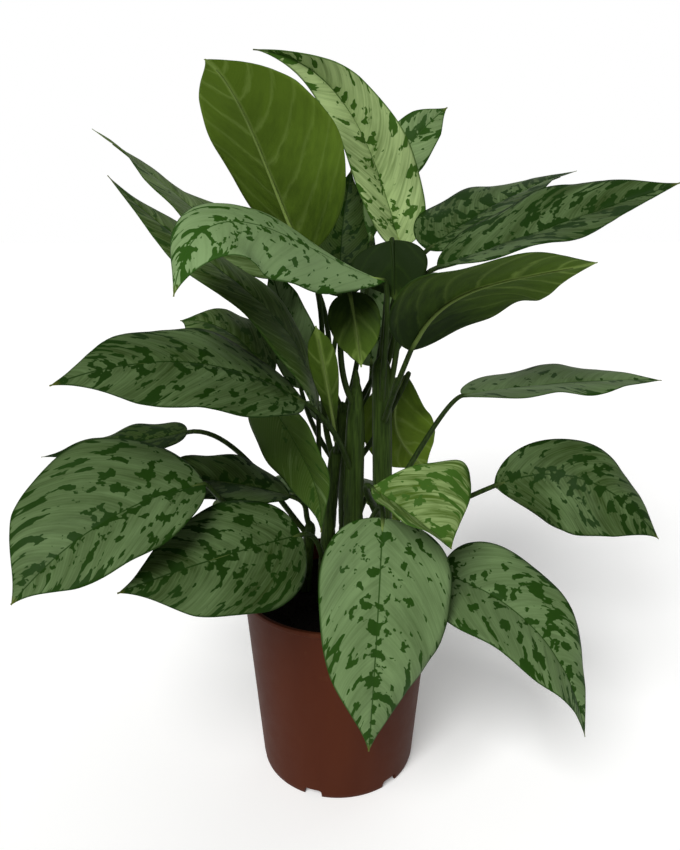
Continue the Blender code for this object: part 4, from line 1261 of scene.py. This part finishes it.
def soil_tree():
    """Heaves the top of the soil and strews crumbs on it."""
    tree, given, result = new_tree("soil_grower", {
        "Heave": ("Float", 1.6 * MM),
        "Crumbs per square metre": ("Float", 90000.0),
        "Crumb radius": ("Float", CRUMB_LARGEST / 2 * MM),
        "Seed": ("Int", 11),
        "Skin": ("Material", soil_skin()),
    })
    fine = add(tree, "GeometryNodeSubdivideMesh", {"Mesh": given["Geometry"], "Level": 2})
    normal = add(tree, "GeometryNodeInputNormal")
    up = add(tree, "ShaderNodeSeparateXYZ", [normal]).outputs["Z"]
    on_top = add(tree, "FunctionNodeCompare", {"A": up, "B": 0.6}, operation="GREATER_THAN")
    spot = add(tree, "GeometryNodeInputPosition")
    lump = add(tree, "ShaderNodeTexNoise",
               {"Vector": spot, "Scale": 1 / (HEAVED_LUMP * MM), "Detail": 3})
    lump = add(tree, "ShaderNodeMath", [lump, 0.5], operation="SUBTRACT")
    lump = add(tree, "ShaderNodeMath", [lump, given["Heave"]], operation="MULTIPLY")
    lift = add(tree, "ShaderNodeCombineXYZ", {"Z": lump})
    heaved = add(tree, "GeometryNodeSetPosition",
                 {"Geometry": fine, "Selection": on_top, "Offset": lift})
    points = add(tree, "GeometryNodeDistributePointsOnFaces",
                 {"Mesh": heaved, "Selection": on_top, "Density": given["Crumbs per square metre"],
                  "Seed": given["Seed"]})
    ball = add(tree, "GeometryNodeMeshIcoSphere", {"Radius": given["Crumb radius"]})
    turned, squashed = [
        add(tree, "FunctionNodeRandomValue", {"Min": least, "Max": most, "Seed": given["Seed"]},
            data_type="FLOAT_VECTOR")
        for least, most in (((0, 0, 0), (6.28, 6.28, 6.28)), ((0.3, 0.3, 0.2), (1.0, 1.4, 0.8)))]
    crumbs = add(tree, "GeometryNodeInstanceOnPoints",
                 {"Points": points, "Instance": ball, "Rotation": turned, "Scale": squashed})
    whole = add(tree, "GeometryNodeJoinGeometry", [[heaved, crumbs]])
    real = add(tree, "GeometryNodeRealizeInstances", {"Geometry": whole})
    smooth = add(tree, "GeometryNodeSetShadeSmooth", {"Geometry": real})
    painted = add(tree, "GeometryNodeSetMaterial", {"Geometry": smooth, "Material": given["Skin"]})
    tree.links.new(painted.outputs[0], result)
    return tree


# The plain solid's triangles come loose, so its copy is welded before the tree divides it.
base = placed("soil_base", frame["nodes"]["soil"].data.copy())
weld = base.modifiers.new("weld", "WELD")
weld.merge_threshold = WELD * MM
soil = grown("soil_grown", base, soil_tree(), {})
stand_for(soil, "soil")
print("soil:", len(soil.data.polygons), "faces")

# %% [markdown]
# ## The pot's plastic
#
# A nursery pot is polypropylene, blown or pressed thin. It is matte, with faint streaks
# where the plastic flowed up the wall, and it is rubbed paler at the rim and the foot.

# %% Pot plastic
POT_HEIGHT = 178
RUBBED_RIM = 9
RUBBED_FOOT = 22
FLOW_WIDTH = 22
FLOW_LENGTH = 160
DUST = 14
MATTE_GRAIN = 0.5


def pot_plastic():
    """Reddish brown polypropylene, matte, with faint flow streaks and rubbed edges."""
    skin, tree, shader = new_skin("moulded_polypropylene", Roughness=0.5, Specular_IOR_Level=0.07)
    spot = add(tree, "ShaderNodeTexCoord").outputs["Object"]
    height = add(tree, "ShaderNodeSeparateXYZ", [spot]).outputs["Z"]
    streaks = (1 / (FLOW_WIDTH * MM), 1 / (FLOW_WIDTH * MM), 1 / (FLOW_LENGTH * MM))
    stretch = add(tree, "ShaderNodeVectorMath", [spot, streaks], operation="MULTIPLY")
    flow = add(tree, "ShaderNodeTexNoise",
               {"Vector": stretch, "Scale": 1, "Detail": 4, "Roughness": 0.6})
    colour = add(tree, "ShaderNodeMix", {"Factor": flow, "A": "#3f190a", "B": "#4b220f"},
                 data_type="RGBA")
    dust = add(tree, "ShaderNodeTexNoise",
               {"Vector": spot, "Scale": 1 / (DUST * MM), "Detail": 8, "Roughness": 0.7})
    top, foot = [
        add(tree, "ShaderNodeMapRange",
            {"Value": height, "From Min": start * MM, "From Max": end * MM, "To Max": most})
        for start, end, most in ((POT_HEIGHT - RUBBED_RIM, POT_HEIGHT, 0.12), (RUBBED_FOOT, 0, 0.1))]
    worn = top
    for more in (foot, dust):
        worn = add(tree, "ShaderNodeMath", [worn, more], operation="ADD")
    scuff = add(tree, "ShaderNodeMapRange",
                {"Value": worn, "From Min": 0.6, "From Max": 0.82, "To Max": 0.35})
    gloss = add(tree, "ShaderNodeMapRange", {"Value": dust, "To Min": 0.42, "To Max": 0.66})
    grain = add(tree, "ShaderNodeTexNoise", {"Vector": spot, "Scale": 1 / (MATTE_GRAIN * MM)})
    finish_skin(tree, shader, colour, ((scuff, "#5a3723"),), grain, strength=0.35, depth=0.08,
                gloss=gloss)
    return skin


POT_PLASTIC = pot_plastic()
print(POT_PLASTIC.name, "is rubbed over the top", RUBBED_RIM, "mm")

# %% [markdown]
# ## The pot
#
# The pot has a rolled rim and a foot ring that is cut away in places, so that water can
# run out. A turned shape is a profile and a Screw modifier. The notches are cut by a
# Boolean, with rounded cutters, so that their edges are soft as moulding leaves them.

# %% Pot
RIM_RADIUS = 86
RIM_DEPTH = 4
WALL_TOP_RADIUS = 83.5
WALL_FOOT_RADIUS = 70.2
WALL = 1.8
FOOT_RADIUS = 69.4
FOOT_HEIGHT = 8
FOOT_THICKNESS = 3
FLOOR_TOP = 10
BOSS_RADIUS = 12
NOTCH_COUNT = 6
NOTCH_DEPTH = 16
NOTCH_WIDTH = 16
NOTCH_HEIGHT = 7.5
NOTCH_ROUNDING = 3
NOTCH_FIRST = -108.5
DRAIN_COUNT = 6
DRAIN_RADIUS = 5
DRAIN_DEPTH = 6
DRAIN_CIRCLE = 44
POT_SIDES = 192
CORNER_STEPS = 4
SHARP_FROM = 35


def rounded(corners):
    """A profile whose corners, given as (radius, height, rounding), are turned in arcs."""
    profile = []
    for i, (x, z, rounding) in enumerate(corners):
        here = Vector((x, z))
        if rounding == 0:
            profile.append(here)
            continue
        before = (Vector(corners[i - 1][:2]) - here).normalized() * rounding
        after = (Vector(corners[i + 1][:2]) - here).normalized() * rounding
        for step in range(CORNER_STEPS + 1):
            t = step / CORNER_STEPS
            profile.append(here + before * (1 - t) ** 2 + after * t * t)
    return profile


def cutter_object(name):
    """Takes the new primitive out of the view and names it."""
    cutter = bpy.context.object
    cutter.name = name
    cutter.hide_render = True
    return cutter


def pot_object():
    """The turned pot with its notches and drain holes."""
    inner_top = WALL_TOP_RADIUS - WALL
    inner_foot = WALL_FOOT_RADIUS - WALL
    profile = rounded((
        (0, FLOOR_TOP, 0),
        (inner_foot, FLOOR_TOP, 1.5),
        (inner_top, POT_HEIGHT - RIM_DEPTH - 2, 0.5),
        (inner_top + 1, POT_HEIGHT, 0.7),
        (RIM_RADIUS, POT_HEIGHT, 1.1),
        (RIM_RADIUS, POT_HEIGHT - RIM_DEPTH, 0.5),
        (WALL_TOP_RADIUS, POT_HEIGHT - RIM_DEPTH - 1.2, 0.5),
        (WALL_FOOT_RADIUS, 4, 1.0),
        (FOOT_RADIUS - 0.2, 0, 1.0),
        (FOOT_RADIUS - FOOT_THICKNESS, 0, 0.6),
        (FOOT_RADIUS - FOOT_THICKNESS, FOOT_HEIGHT, 0.8),
        (BOSS_RADIUS + 1, FOOT_HEIGHT, 0.5),
        (BOSS_RADIUS, 0, 0.5),
        (0, 0, 0),
    ))
    mesh = bpy.data.meshes.new("pot_profile")
    mesh.from_pydata([(p.x * MM, 0, p.y * MM) for p in profile],
                     [(i, i + 1) for i in range(len(profile) - 1)], [])
    turned = placed("pot_profile", mesh)
    turn = turned.modifiers.new("turn", "SCREW")
    turn.steps = turn.render_steps = POT_SIDES
    turn.use_merge_vertices = True
    turn.merge_threshold = WELD * MM
    cutters = []
    for number in range(NOTCH_COUNT):
        angle = NOTCH_FIRST + number * 360 / NOTCH_COUNT
        bpy.ops.mesh.primitive_cube_add(size=1)
        notch = cutter_object(f"notch_{number + 1}")
        box = (NOTCH_DEPTH * MM, NOTCH_WIDTH * MM, 2 * NOTCH_HEIGHT * MM, 1)
        notch.data.transform(Matrix.Diagonal(box))
        notch.location = compass(angle) * FOOT_RADIUS * MM
        notch.rotation_euler.z = math.radians(angle)
        rounding = notch.modifiers.new("rounding", "BEVEL")
        rounding.width = NOTCH_ROUNDING * MM
        rounding.segments = 4
        cutters.append(notch)
    for number in range(DRAIN_COUNT):
        spot = compass(number * 360 / DRAIN_COUNT) * DRAIN_CIRCLE
        spot.z = (FOOT_HEIGHT + FLOOR_TOP) / 2
        bpy.ops.mesh.primitive_cylinder_add(vertices=32, radius=DRAIN_RADIUS * MM,
                                            depth=DRAIN_DEPTH * MM, location=spot * MM)
        cutters.append(cutter_object(f"drain_{number + 1}"))
    for cutter in cutters:
        cut = turned.modifiers.new("cut", "BOOLEAN")
        cut.object = cutter
    made = taken("nursery_pot", turned)
    for cutter in cutters:
        bpy.data.objects.remove(cutter)
    made.data.materials.clear()
    made.data.materials.append(POT_PLASTIC)
    made.data.shade_smooth()
    made.data.set_sharp_from_angle(angle=math.radians(SHARP_FROM))
    return made


pot = pot_object()
stand_for(pot, "pot")
print("pot:", len(pot.data.polygons), "faces,", 2 * RIM_RADIUS, "mm across the rim")
